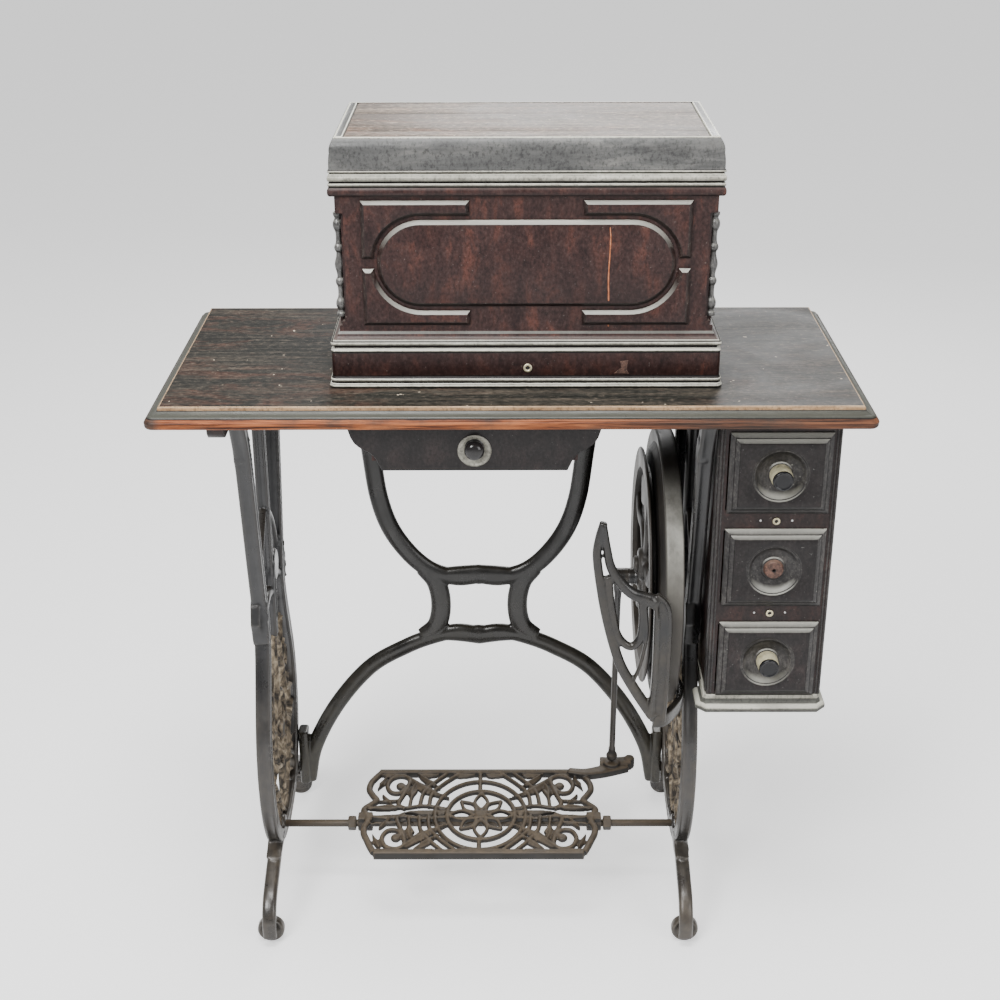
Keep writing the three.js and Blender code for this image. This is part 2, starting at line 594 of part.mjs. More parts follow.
function addTreadle() {
  const rings = [[92, 80], [62, 56], [34, 30]].map(
    ([across, deep]) => ring(TREADLE_X, PLATE_MIDDLE, across, deep, 7));
  const flats = [...treadleStrokes(), ...rings].map((shape) => plate(shape, 'Z', PLATE_LOW, PLATE_HIGH, 6));
  const bosses = [-1, 1].flatMap((side) => {
    const outer = TREADLE_X + side * 168;
    const inner = TREADLE_X + side * 148;
    return [
      cylinder('X', 12, Math.min(inner, outer), Math.max(inner, outer), [PIVOT_Y, PIVOT_Z], 14),
      box(Math.min(inner, outer), Math.max(inner, outer), PIVOT_Y - 9, PIVOT_Y + 9, PIVOT_Z + 3, PLATE_HIGH),
    ];
  });
  const arm = plate(polygon([
    [90, 30], [112, 22], [140, 36], [172, 50], [181, 62], [179, 73], [150, 72], [128, 68], [104, 50], [90, 47],
  ]), 'Z', PLATE_LOW + 1, 124);
  const socket = cylinder('Z', 12, 116, PITMAN_FOOT_Z - 8.4, [PITMAN_X, PITMAN_FOOT_Y], 14);
  const bore = cylinder('X', ROD_RADIUS + GAP, -260, 180, [PIVOT_Y, PIVOT_Z], 12);
  piece('treadle_plate', cut(join(...flats, ...bosses, arm, socket), bore), RUSTY_IRON);
  piece('treadle_rod', cylinder('X', ROD_RADIUS, LEFT_IRON_X + 2, RIGHT_IRON_X - 2, [PIVOT_Y, PIVOT_Z], 12),
    RUSTY_IRON);
  for (const side of [-1, 1]) {
    const near = TREADLE_X + side * 171;
    const far = TREADLE_X + side * 182;
    const nut = cylinder('X', 10, Math.min(near, far), Math.max(near, far), [PIVOT_Y, PIVOT_Z], 6);
    const nutBore = cylinder('X', ROD_RADIUS + GAP, -260, 180, [PIVOT_Y, PIVOT_Z], 12);
    piece(`treadle_nut_${side < 0 ? 'left' : 'right'}`, cut(nut, nutBore), RUSTY_IRON);
  }
}

function addPitman() {
  const eyeZ = WHEEL_Z + CRANK_DZ;
  const eyeY = WHEEL_Y + CRANK_DY;
  const length = Math.hypot(eyeY - PITMAN_FOOT_Y, eyeZ - PITMAN_FOOT_Z);
  const lean = Math.atan2(PITMAN_FOOT_Y - eyeY, eyeZ - PITMAN_FOOT_Z);
  const rod = cylinder('Z', 4.5, 0, length, [0, 0], 10).rotateX(lean)
    .translate(PITMAN_X, PITMAN_FOOT_Y, PITMAN_FOOT_Z);
  const foot = turned('Z', [[0, -8], [4, -6.9], [7, -3.9], [8, 0], [8, 5], [6, 7.5], [0, 7.5]],
    [PITMAN_X, PITMAN_FOOT_Y, PITMAN_FOOT_Z], 14);
  const bearing = cylinder('X', CRANK_RADIUS, 143, PITMAN_EYE_RIGHT, [eyeY, eyeZ], 16);
  piece('pitman', join(rod, foot, bearing), IRON);
}

// ---------------------------------------------------------------- dress guard
function addDressGuard() {
  const front = -187;
  const back = -179;
  const bars = [
    ribbon([[110, 622], [104, 580], [110, 525], [118, 486], [127, 452], [136, 425], [149, 400], [162, 378],
      [180, 350]], 8, 12),
    ribbon([[110, 616], [116, 572], [128, 545], [146, 525], [163, 519], [182, 512]], 12, 9),
    ribbon([[174, 519], [185, 505], [187, 480], [187, 432], [185, 390], [184, 345]], 22, 7),
    ribbon([[117, 545], [121, 510], [130, 468], [146, 452], [158, 464], [161, 489], [160, 520]], 8, 9),
  ].map((shape) => plate(shape, 'Y', front, back));
  const strap = plate(polygon([
    [176, front], [196, front], [215, -150], [RIGHT_IRON_X - IRON_THICK / 2 - GAP, -140],
    [RIGHT_IRON_X - IRON_THICK / 2 - GAP, -92], [215, -92], [214, -136], [192, back], [176, back],
  ]), 'Z', 336, 358);
  piece('dress_guard', join(...bars, strap), IRON);
}

// ---------------------------------------------------------------- sewing head
function addHead() {
  const low = 758;
  const bed = slab(BED_WIDTH, BED_DEPTH, BED_X, HEAD_Y, [[0, low], [0, BED_TOP - 2], [2, BED_TOP]], 6);
  const needleHole = cylinder('Z', 5, low - 5, BED_TOP + 5, [NEEDLE_X, HANDWHEEL_Y], 12);
  piece('head_bed', cut(bed, needleHole), JAPAN_BLACK);
  const arm = plate(polygon([
    [168, BED_TOP + GAP], [166, 800], [158, 840], [158, 930], [168, 950], [168, 994], [150, 1004], [60, 1000],
    [-40, 1004], [-150, 1010], [-168, 1000], [-168, 905], [-118, 905], [-112, 950], [-60, 950], [60, 944],
    [96, 930], [108, 890], [106, 830], [92, BED_TOP + GAP],
  ]), 'Y', HANDWHEEL_Y - 24, HANDWHEEL_Y + 24);
  const winderArm = box(124, 134, HANDWHEEL_Y, 56, 920, 940);
  const bores = [NEEDLE_X, PRESSER_X].map((x) => cylinder('Z', 3.4, 895, 1020, [x, HANDWHEEL_Y], 12));
  const winderBore = cylinder('X', 3.4, 110, 160, [45, 930], 10);
  piece('head_arm', cut(join(arm, winderArm), ...bores, winderBore), JAPAN_BLACK);
  piece('head_face_plate', box(-170.5, -168 - GAP, HANDWHEEL_Y - 22, HANDWHEEL_Y + 22, 908, 998), STEEL);
  piece('needle_bar', join(
    cylinder('Z', 3, 822, 1018, [NEEDLE_X, HANDWHEEL_Y], 12),
    cylinder('Z', 5, 824, 838, [NEEDLE_X, HANDWHEEL_Y], 12),
    cylinder('Z', 1, 787, 823, [NEEDLE_X, HANDWHEEL_Y], 8)), STEEL);
  piece('presser_bar', join(
    cylinder('Z', 3, 790, 1016, [PRESSER_X, HANDWHEEL_Y], 12),
    box(PRESSER_X - 5, PRESSER_X + 5, HANDWHEEL_Y - 6, HANDWHEEL_Y + 6, 780, 800),
    box(NEEDLE_X - 8, NEEDLE_X - 4, HANDWHEEL_Y - 14, HANDWHEEL_Y + 8, BED_TOP + 2, BED_TOP + 5),
    box(NEEDLE_X + 4, NEEDLE_X + 8, HANDWHEEL_Y - 14, HANDWHEEL_Y + 8, BED_TOP + 2, BED_TOP + 5),
    box(NEEDLE_X - 8, PRESSER_X + 3, HANDWHEEL_Y + 2, HANDWHEEL_Y + 6, BED_TOP + 2, BED_TOP + 10)), STEEL);
  addHeadFittings();
}

function addHeadFittings() {
  const frontFace = HANDWHEEL_Y - 24;
  piece('handwheel', turned('X', [
    [0, 170], [12, 170], [12, 175.5], [36, 175.5], [25, 176.5], [25, 183.5], [36, 184.5], [40, 187],
    [52, 187], [56, 184], [62, 185], [64, 191], [60, 197], [48, 194], [20, 192], [18, 200], [0, 200],
  ], [0, HANDWHEEL_Y, HANDWHEEL_Z], 24), STEEL);
  piece('tension_dial', turned('Y', [[0, -20], [5, -20], [9, -16], [9, -8], [12, -6], [12, -3], [4, -2], [4, 0],
    [0, 0]], [-140, frontFace - GAP, 940], 20), STEEL);
  piece('take_up_lever', join(
    cylinder('Y', 6, frontFace - 8, frontFace - GAP, [-120, 968], 14),
    box(-122, -118, frontFace - 8, frontFace - 5, 968, 1024)), STEEL);
  piece('spool_pin', turned('Z', [[0, 0], [7, 0], [7, 2], [2.2, 3], [2.2, 30], [0, 30]],
    [90, HANDWHEEL_Y, 1002.4], 12), STEEL);
  piece('bobbin_winder', join(
    cylinder('X', 3, 118, 156, [45, 930], 10),
    cylinder('X', 13, 158, 166, [45, 930], 18),
    cylinder('X', 5, 155, 159, [45, 930], 10)), STEEL);
  piece('slide_plate', box(-186, -160, HEAD_Y - 76, HEAD_Y + 60, BED_TOP + GAP, BED_TOP + 2), STEEL);
}

addTable();
addCover();
addCentreDrawer();
addSideDrawers();
addIrons();
addBrace();
addFlywheel();
addTreadle();
addPitman();
addDressGuard();
addHead();

export default machine;
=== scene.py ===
"""Looks of a treadle sewing machine with a coffin cover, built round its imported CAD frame.

Sizes and places are millimetres in the part's own frame (+Z up, front towards -Y); MM makes them metres.
"""

import math
from functools import partial

import bmesh
import bpy
from mathutils import Matrix, Vector


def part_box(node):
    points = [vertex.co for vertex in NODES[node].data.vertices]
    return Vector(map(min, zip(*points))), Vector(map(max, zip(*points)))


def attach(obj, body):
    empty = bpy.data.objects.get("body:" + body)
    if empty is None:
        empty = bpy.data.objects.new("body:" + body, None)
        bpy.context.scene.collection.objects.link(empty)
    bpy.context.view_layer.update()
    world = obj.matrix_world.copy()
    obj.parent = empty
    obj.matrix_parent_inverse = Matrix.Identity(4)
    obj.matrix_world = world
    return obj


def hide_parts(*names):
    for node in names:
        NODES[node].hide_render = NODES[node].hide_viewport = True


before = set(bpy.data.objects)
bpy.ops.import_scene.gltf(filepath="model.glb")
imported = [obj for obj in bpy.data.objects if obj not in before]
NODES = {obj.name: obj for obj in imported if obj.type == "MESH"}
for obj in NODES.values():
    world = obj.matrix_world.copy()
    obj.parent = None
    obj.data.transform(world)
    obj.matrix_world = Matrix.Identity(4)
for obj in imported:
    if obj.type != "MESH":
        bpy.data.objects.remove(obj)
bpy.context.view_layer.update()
MM = 0.001
SIDES = (("left", -1), ("right", 1))
WHEEL_Y, WHEEL_Z = 10, 470                            # the flywheel's axle
CRANK_Y, CRANK_Z = WHEEL_Y + 22, WHEEL_Z - 29         # the crank pin at rest
PIVOT_Y, PIVOT_Z = -62, 105                           # the treadle's rod
PITMAN_X, PITMAN_Y, PITMAN_Z = 146.5, 55, 138         # the ball at the pitman's foot


def span(node):
    """Lowest and highest corner of a CAD node, in millimetres."""
    low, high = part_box(node)
    return Vector(low) / MM, Vector(high) / MM


def middle(node):
    low, high = span(node)
    return (low + high) / 2


# ---------------------------------------------------------------- materials
def scaled(colour, factor):
    """A darker or lighter tone of a colour."""
    return tuple(min(1.0, channel * factor) for channel in colour)


def blend(first, second, share_first, share_second):
    return tuple(share_first * a + share_second * b for a, b in zip(first, second))


class Paint:
    """A small builder for one node material."""

    def __init__(self, name, metallic=0.0, coat=0.0, shine=0.5):
        self.material = bpy.data.materials.new(name)
        self.material.use_nodes = True
        self.tree = self.material.node_tree
        self.shader = self.tree.nodes["Principled BSDF"]
        self.shader.inputs["Metallic"].default_value = metallic
        self.shader.inputs["Coat Weight"].default_value = coat
        self.shader.inputs["Coat Roughness"].default_value = 0.3
        self.shader.inputs["Specular IOR Level"].default_value = shine
        self.coords = self.add("ShaderNodeTexCoord").outputs["Object"]
        shape = self.add("ShaderNodeNewGeometry")
        self.normal, self.pointed = shape.outputs["Normal"], shape.outputs["Pointiness"]

    def add(self, kind, **settings):
        node = self.tree.nodes.new(kind)
        for key, value in settings.items():
            setattr(node, key, value)
        return node

    def feed(self, socket, value):
        if isinstance(value, bpy.types.NodeSocket):
            self.tree.links.new(value, socket)
        else:
            socket.default_value = value

    def stretched(self, scale):
        node = self.add("ShaderNodeMapping")
        node.inputs["Scale"].default_value = scale
        self.feed(node.inputs["Vector"], self.coords)
        return node.outputs["Vector"]

    def noise(self, scale, detail=4.0, stretch=(1, 1, 1), roughness=0.55, distortion=0.0):
        node = self.add("ShaderNodeTexNoise")
        self.feed(node.inputs["Vector"], self.stretched(stretch))
        settings = {"Scale": scale, "Detail": detail, "Roughness": roughness, "Distortion": distortion}
        for key, value in settings.items():
            node.inputs[key].default_value = value
        return node.outputs["Fac"]

    def ramp(self, value, *stops):
        """Stops are (position, grey or colour)."""
        node = self.add("ShaderNodeValToRGB")
        self.feed(node.inputs["Fac"], value)
        band = node.color_ramp
        while len(band.elements) < len(stops):
            band.elements.new(0.5)
        for element, (position, colour) in zip(band.elements, stops):
            element.position = position
            grey = (colour, colour, colour) if isinstance(colour, (int, float)) else colour
            element.color = (*grey, 1)
        return node.outputs["Color"]

    def mix(self, amount, first, second, mode="MIX"):
        node = self.add("ShaderNodeMix", data_type="RGBA", blend_type=mode)
        self.feed(node.inputs[0], amount)
        for socket, value in ((node.inputs[6], first), (node.inputs[7], second)):
            self.feed(socket, (*value, 1) if isinstance(value, tuple) else value)
        return node.outputs[2]

    def math(self, operation, first, second=0.0, clamp=False):
        node = self.add("ShaderNodeMath", operation=operation, use_clamp=clamp)
        self.feed(node.inputs[0], first)
        self.feed(node.inputs[1], second)
        return node.outputs[0]

    def part(self, vector, axis):
        node = self.add("ShaderNodeSeparateXYZ")
        self.feed(node.inputs[0], vector)
        return node.outputs["XYZ".index(axis)]

    def facing_up(self, low=0.25, high=0.9):
        """1 where the surface looks up: settled dust, and a painted top light that brightens upper faces."""
        return self.ramp(self.part(self.normal, "Z"), (low, 0.0), (high, 1.0))

    def painted_underside_shade(self):
        """0.75 where the surface looks down, where a painted shade darkens the undersides."""
        return self.ramp(self.math("MULTIPLY", self.part(self.normal, "Z"), -1.0), (0.02, 0.0), (0.6, 0.75))

    def finish(self, colour, roughness, bumps=()):
        """Bumps are (height, strength, distance in millimetres), chained."""
        self.feed(self.shader.inputs["Base Color"], colour)
        self.feed(self.shader.inputs["Roughness"], roughness)
        last = None
        for height, strength, distance in bumps:
            node = self.add("ShaderNodeBump")
            node.inputs["Strength"].default_value = strength
            node.inputs["Distance"].default_value = distance * MM
            self.feed(node.inputs["Height"], height)
            if last is not None:
                self.feed(node.inputs["Normal"], last)
            last = node.outputs["Normal"]
        if last is not None:
            self.feed(self.shader.inputs["Normal"], last)
        return self.material


def varnish(name, deep, mid, glow, dust, dust_and_light_amount, grain=(14, 14, 7), gloss=0.42, rubbed=0.0,
            shine=0.22, stipple=0.10):
    """Old varnished wood: mottled grain, a crazed and stippled gloss, specks, dust that doubles as a painted
    top light on upper faces, and a painted shade on the undersides.
    """
    paint = Paint(name, coat=0.02, shine=shine)
    streaks = paint.noise(3.2, 9.0, grain, 0.68, 0.5)
    clouds = paint.noise(6.0, 5.0, (1, 1.3, 1.5), 0.62, 0.6)
    body = paint.ramp(streaks, (0.36, deep), (0.52, mid), (0.68, glow))
    body = paint.mix(paint.ramp(clouds, (0.34, 0.0), (0.60, 0.8)), body, paint.mix(0.35, deep, mid))
    fine = paint.noise(300.0, 4.0, (1, 1, 0.7), 0.7)
    body = paint.mix(paint.ramp(fine, (0.36, 0.6), (0.50, 0.0)), body, scaled(deep, 0.35))
    body = paint.mix(paint.ramp(fine, (0.52, 0.0), (0.66, stipple)), body, blend(glow, dust, 0.5, 0.5))
    specks = paint.ramp(paint.noise(300.0, 2.0), (0.70, 0.0), (0.76, 1.0))
    body = paint.mix(paint.math("MULTIPLY", specks, 0.3 + rubbed), body, dust)
    # Upper faces take the dust colour: partly dust, partly a painted top light.
    dust_and_top_light = paint.math("MULTIPLY", paint.facing_up(), paint.ramp(clouds, (0.2, 0.6), (0.7, 1.0)))
    body = paint.mix(paint.math("MULTIPLY", dust_and_top_light, dust_and_light_amount), body, dust)
    if rubbed:
        rubs = paint.ramp(paint.noise(9.0, 8.0, (0.6, 1.6, 1), 0.74, 1.2), (0.55, 0.0), (0.66, rubbed))
        body = paint.mix(rubs, body, scaled(glow, 1.7))
    # A painted shade on the undersides.
    body = paint.mix(paint.painted_underside_shade(), body, scaled(deep, 0.3))
    rough = paint.ramp(paint.noise(18.0, 6.0), (0.3, gloss - 0.10), (0.75, gloss + 0.16))
    return paint.finish(body, rough, ((streaks, 0.18, 0.5), (fine, 0.30, 0.4)))


def cast(name, dark, brown, low, high, metallic, rough, grit=0.35, top=0.45):
    """Cast iron, dark at height `high` and browner down to `low`; top is how brown its upper faces are, as
    dust and a painted top light. Hollows and undersides get a painted shade, crests a painted highlight that
    is partly rubbed wear.
    """
    paint = Paint(name, metallic)
    height = paint.part(paint.coords, "Z")
    fade = paint.math("DIVIDE", paint.math("SUBTRACT", high * MM, height), (high - low) * MM, True)
    patches = paint.noise(24.0, 7.0, (1, 1, 0.6), 0.65)
    wear = paint.math("MULTIPLY", fade, paint.ramp(patches, (0.34, 0.12), (0.68, 1.0)))
    # Upper faces turn brown: dust and a painted top light.
    upper_dust_and_light = paint.ramp(patches, (0.3, top * 0.45), (0.7, top))
    stain = paint.math("MAXIMUM", wear, paint.math("MULTIPLY", paint.facing_up(0.30, 0.85), upper_dust_and_light))
    tone = paint.ramp(paint.noise(60.0, 5.0), (0.3, scaled(dark, 0.6)), (0.7, dark))
    light = paint.ramp(paint.noise(110.0, 4.0), (0.3, scaled(brown, 0.55)), (0.75, brown))
    colour = paint.mix(stain, tone, light)
    # Hollows get a painted shade.
    painted_hollow_shade = paint.ramp(paint.pointed, (0.44, 0.9), (0.495, 0.0))
    colour = paint.mix(painted_hollow_shade, colour, scaled(dark, 0.2))
    # Crests get a painted highlight, partly rubbed wear.
    crest_highlight_and_wear = paint.ramp(paint.pointed, (0.51, 0.0), (0.58, 0.8))
    crest_highlight_and_wear = paint.math("MULTIPLY", crest_highlight_and_wear, paint.ramp(patches, (0.3, 0.4), (0.6, 1.0)))
    colour = paint.mix(crest_highlight_and_wear, colour, blend(brown, dark, 0.5, 0.7))
    # Undersides get a painted shade.
    colour = paint.mix(paint.painted_underside_shade(), colour, scaled(dark, 0.25))
    roughness = paint.ramp(patches, (0.3, rough - 0.12), (0.8, rough + 0.2))
    return paint.finish(colour, roughness, ((patches, 0.15, 0.8), (paint.noise(420.0, 3.0), grit, 0.3)))


def perforated(name):
    """Thin lacy casting: beige leaf ends against black gaps."""
    paint = Paint(name, 0.2, shine=0.3)
    blotches = paint.noise(70.0, 3.0, (1, 1, 0.8), 0.6, 0.8)
    colour = paint.ramp(blotches, (0.38, (0.020, 0.017, 0.014)), (0.52, (0.12, 0.095, 0.066)),
                        (0.70, (0.34, 0.28, 0.20)))
    # Hollows get a near black painted shade.
    colour = paint.mix(paint.ramp(paint.pointed, (0.44, 0.9), (0.50, 0.0)), colour, (0.010, 0.008, 0.007))
    return paint.finish(colour, 0.75, ((blotches, 0.6, 2.0), (paint.noise(420.0, 3.0), 0.3, 0.3)))


def plain_metal(name, colour, rough, metallic, stain, stained, shine=0.5):
    """Metal or enamel of one colour with blotches of stain."""
    paint = Paint(name, metallic, shine=shine)
    patches = paint.noise(90.0, 6.0, roughness=0.65)
    body = paint.mix(paint.ramp(patches, (0.45, 0.0), (0.75, stained)), colour, stain)
    roughness = paint.ramp(patches, (0.3, rough - 0.08), (0.75, rough + 0.18))
    return paint.finish(body, roughness, ((paint.noise(600.0, 2.0), 0.12, 0.2),))


def table_wood(name, deep, mid, pale, scuff, scuffed):
    """A flat top with long grain, a hazy varnish, scratches, chips and reddish scuffs, most to the left."""
    paint = Paint(name, shine=0.12)
    grain = paint.noise(2.2, 10.0, (1.6, 34, 34), 0.72, 0.6)
    body = paint.ramp(grain, (0.34, deep), (0.50, mid), (0.68, pale))
    haze = paint.noise(4.5, 9.0, (1, 1.5, 1), 0.72, 1.0)
    body = paint.mix(paint.ramp(haze, (0.36, 0.8), (0.56, 0.0)), body, paint.mix(0.3, deep, mid))
    along = paint.math("ADD", paint.part(paint.coords, "X"), 0.5)
    leftness = paint.ramp(along, (0.08, 1.0), (0.5, 0.35), (0.9, 0.25))
    rubs = paint.ramp(paint.noise(7.0, 9.0, (0.8, 1.8, 1), 0.78, 1.6), (0.50, 0.0), (0.64, scuffed))
    body = paint.mix(paint.math("MULTIPLY", rubs, leftness), body, scuff)
    stipple = paint.noise(210.0, 4.0, (0.6, 1, 1), 0.7)
    body = paint.mix(paint.ramp(stipple, (0.36, 0.7), (0.50, 0.0)), body, scaled(deep, 0.4))
    body = paint.mix(paint.ramp(stipple, (0.56, 0.0), (0.70, 0.45)), body, scaled(pale, 2.2))
    lines = paint.noise(38.0, 4.0, (0.25, 3.0, 1), 0.6, 2.2)
    body = paint.mix(paint.ramp(lines, (0.655, 0.0), (0.69, 0.5)), body, scaled(pale, 2.6))
    chips = paint.ramp(paint.noise(90.0, 2.0), (0.735, 0.0), (0.76, 0.9))
    body = paint.mix(chips, body, (0.40, 0.34, 0.26))
    rough = paint.ramp(haze, (0.3, 0.36), (0.7, 0.60))
    return paint.finish(body, rough, ((grain, 0.22, 0.5), (stipple, 0.30, 0.4)))


def rim_iron():
    """The wheel's rim, coloured by height: a pale band at half height, partly wear and partly painted
    highlight, a painted shadow of the table above it and dark brown towards the bottom.
    """
    paint = Paint("wheel_rim_painted_light", 0.15, shine=0.3)
    height = paint.part(paint.coords, "Z")
    patches = paint.noise(24.0, 7.0, (1, 1, 0.6), 0.65)
    # Colour by height paints light on the rim: a painted table shadow at the top and a painted highlight at
    # mid height.
    base = paint.ramp(height, (0.30, (0.020, 0.017, 0.014)), (0.48, (0.040, 0.036, 0.030)),
                      (0.53, (0.11, 0.105, 0.092)), (0.565, (0.27, 0.265, 0.235)),
                      (0.605, (0.24, 0.235, 0.21)), (0.64, (0.026, 0.023, 0.021)))
    colour = paint.mix(paint.ramp(patches, (0.35, 0.65), (0.62, 0.0)), base, (0.030, 0.026, 0.022))
    side = paint.ramp(paint.math("ABSOLUTE", paint.part(paint.normal, "X")), (0.5, 0.0), (0.9, 0.85))
    colour = paint.mix(side, colour, (0.024, 0.021, 0.018))
    roughness = paint.ramp(patches, (0.3, 0.42), (0.8, 0.62))
    return paint.finish(colour, roughness, ((patches, 0.2, 0.8), (paint.noise(420.0, 3.0), 0.4, 0.3)))


def worn_edge():
    """Dark moulding whose front face has worn through to orange wood, most of all towards the left."""
    paint = Paint("worn_table_edge", shine=0.15)
    streaks = paint.noise(4.0, 8.0, (2, 30, 60), 0.65, 0.5)
    dark = paint.ramp(streaks, (0.3, (0.014, 0.010, 0.008)), (0.7, (0.050, 0.036, 0.028)))
    bare = paint.ramp(streaks, (0.40, (0.020, 0.007, 0.004)), (0.48, (0.13, 0.036, 0.012)),
                      (0.60, (0.26, 0.085, 0.030)))
    front = paint.math("MULTIPLY", paint.part(paint.coords, "Y"), -1.0)
    side = paint.ramp(front, (0.190, 0.0), (0.198, 1.0))
    reach = paint.math("ADD", paint.part(paint.coords, "X"), 0.5)
    along = paint.ramp(reach, (0.09, 0.12), (0.10, 1.0), (0.55, 0.9), (0.72, 0.25), (0.95, 0.45))
    patches = paint.ramp(paint.noise(9.0, 7.0, (1.4, 1, 3), 0.7), (0.36, 0.25), (0.52, 1.0))
    worn = paint.math("MULTIPLY", side, paint.math("MULTIPLY", along, patches))
    roughness = paint.ramp(streaks, (0.3, 0.40), (0.8, 0.62))
    return paint.finish(paint.mix(worn, dark, bare), roughness, ((streaks, 0.25, 0.6),))


# Pale grey dust, which also paints the top light on the upper faces of mouldings.
DUST_AND_TOP_LIGHT_GREY = (0.40, 0.395, 0.35)
BLACK = (0.006, 0.005, 0.005)


def make_woods():
    return {
        "body": varnish("varnish_body", (0.010, 0.004, 0.004), (0.032, 0.014, 0.012), (0.090, 0.030, 0.020),
                        (0.20, 0.17, 0.15), 0.3, (16, 16, 6), 0.40),
        "bevel": varnish("varnish_bevels", (0.008, 0.004, 0.004), (0.022, 0.013, 0.011),
                         (0.055, 0.030, 0.024), DUST_AND_TOP_LIGHT_GREY, 0.95, gloss=0.38),
        "spindle": varnish("varnish_spindles", (0.020, 0.019, 0.018), (0.065, 0.062, 0.060),
                           (0.15, 0.145, 0.135), DUST_AND_TOP_LIGHT_GREY, 0.7, gloss=0.30, shine=0.5),
        "drawer": varnish("varnish_drawers", (0.004, 0.003, 0.003), (0.011, 0.008, 0.008),
                          (0.028, 0.018, 0.017), (0.22, 0.22, 0.21), 0.4, gloss=0.38, stipple=0.05),
        "case": varnish("varnish_case", (0.005, 0.003, 0.003), (0.016, 0.008, 0.007), (0.045, 0.018, 0.014),
                        (0.20, 0.19, 0.17), 0.3, gloss=0.38, stipple=0.05),
        "mould": varnish("varnish_mouldings", (0.010, 0.009, 0.009), (0.032, 0.029, 0.028),
                         (0.080, 0.073, 0.066), DUST_AND_TOP_LIGHT_GREY, 0.95, gloss=0.36),
        # Pale beads: dust and a painted highlight where the mouldings bulge towards the light.
        "bead": varnish("varnish_beads_dust_and_highlight", (0.12, 0.115, 0.095), (0.30, 0.29, 0.245), (0.50, 0.485, 0.42),
                        (0.58, 0.57, 0.49), 0.8, (9, 9, 22), gloss=0.42),
        # Near black grooves and small steps: a painted shade in the recesses.
        "groove": varnish("varnish_grooves_painted_shade", BLACK, (0.010, 0.008, 0.008), (0.018, 0.014, 0.013),
                          (0.05, 0.045, 0.04), 0.2, gloss=0.6, shine=0.15),
        "cove": varnish("varnish_lid_cove", (0.034, 0.034, 0.034), (0.082, 0.082, 0.079),
                        (0.145, 0.140, 0.130), (0.10, 0.10, 0.095), 0.5, (5, 9, 22), 0.36, 0.12),
        "top": table_wood("varnish_table_top", (0.007, 0.007, 0.006), (0.019, 0.018, 0.015),
                          (0.062, 0.050, 0.038), (0.080, 0.034, 0.022), 0.7),
        "lid": table_wood("varnish_cover_top", (0.040, 0.030, 0.024), (0.120, 0.098, 0.080),
                          (0.25, 0.205, 0.165), (0.24, 0.105, 0.060), 0.6),
        "plinth": varnish("varnish_case_foot", (0.040, 0.040, 0.035), (0.075, 0.075, 0.066),
                          (0.12, 0.12, 0.104), (0.14, 0.14, 0.12), 0.5, (4, 4, 9), 0.5),
        "edge": worn_edge(),
        "slope": varnish("varnish_table_slope", (0.014, 0.015, 0.012), (0.034, 0.035, 0.029),
                         (0.075, 0.070, 0.056), (0.070, 0.070, 0.058), 0.6, (2, 26, 26), 0.36),
        "tan": varnish("rubbed_step", (0.14, 0.075, 0.035), (0.30, 0.19, 0.10), (0.48, 0.34, 0.20),
                       (0.36, 0.30, 0.22), 0.3, (6, 40, 40), 0.5),
        "edge_scar": varnish("bare_scratch", (0.20, 0.06, 0.025), (0.38, 0.13, 0.055), (0.50, 0.22, 0.11),
                             (0.4, 0.3, 0.2), 0.2, (30, 30, 30), 0.6),
        "stub": varnish("bare_knob_stub", (0.03, 0.018, 0.014), (0.085, 0.045, 0.034), (0.20, 0.10, 0.07),
                        (0.30, 0.20, 0.15), 0.3, (60, 60, 60), 0.5),
        "tray": varnish("bare_tray_wood", (0.20, 0.125, 0.07), (0.30, 0.20, 0.12), (0.42, 0.29, 0.18),
                        (0.40, 0.32, 0.24), 0.3, (3, 50, 50), 0.65),
    }


def make_metals():
    return {
        "iron": cast("cast_iron_frame", (0.022, 0.022, 0.023), (0.085, 0.068, 0.049), 20, 420, 0.2, 0.32),
        "lace": perforated("cast_iron_lace"),
        "brace": cast("cast_iron_brace", (0.010, 0.009, 0.008), (0.052, 0.045, 0.030), 60, 400, 0.2, 0.28),
        "rust": cast("rusty_treadle", (0.007, 0.005, 0.003), (0.125, 0.092, 0.058), 0, 60,
                     0.1, 0.62, 0.6, 0.95),
        "wheel": rim_iron(),
        "spoke": cast("wheel_spokes", (0.014, 0.012, 0.011), (0.085, 0.070, 0.052), 300, 560,
                      0.15, 0.50, 0.4),
        "guard": cast("cast_iron_guard", (0.010, 0.0105, 0.012), (0.045, 0.038, 0.029), 430, 720,
                      0.3, 0.28, 0.3, 0.5),
        "brass": plain_metal("tarnished_brass", (0.55, 0.50, 0.34), 0.38, 0.85, (0.16, 0.13, 0.08), 0.75),
        "pale_knob": plain_metal("worn_pale_knob", (0.62, 0.57, 0.38), 0.42, 0.45, (0.12, 0.10, 0.05), 0.9),
        "dark_cap": plain_metal("dark_knob_cap", (0.008, 0.008, 0.009), 0.13, 0.0, (0.004, 0.004, 0.004),
                                0.5, 0.25),
        "steel": plain_metal("dull_nickel", (0.50, 0.50, 0.50), 0.30, 0.95, (0.20, 0.15, 0.10), 0.4),
        "gloss": plain_metal("dark_glossy_knob", (0.012, 0.011, 0.011), 0.10, 0.0, BLACK, 0.4, 0.35),
        "japan": plain_metal("japan_enamel", (0.012, 0.012, 0.013), 0.16, 0.1, (0.05, 0.04, 0.03), 0.4),
        # Flat black for holes: a painted shade standing in for their depth.
        "hole": plain_metal("keyhole_painted_shade", BLACK, 0.8, 0.0, (0.01, 0.01, 0.01), 0.5),
    }


LOOKS = {**make_woods(), **make_metals()}


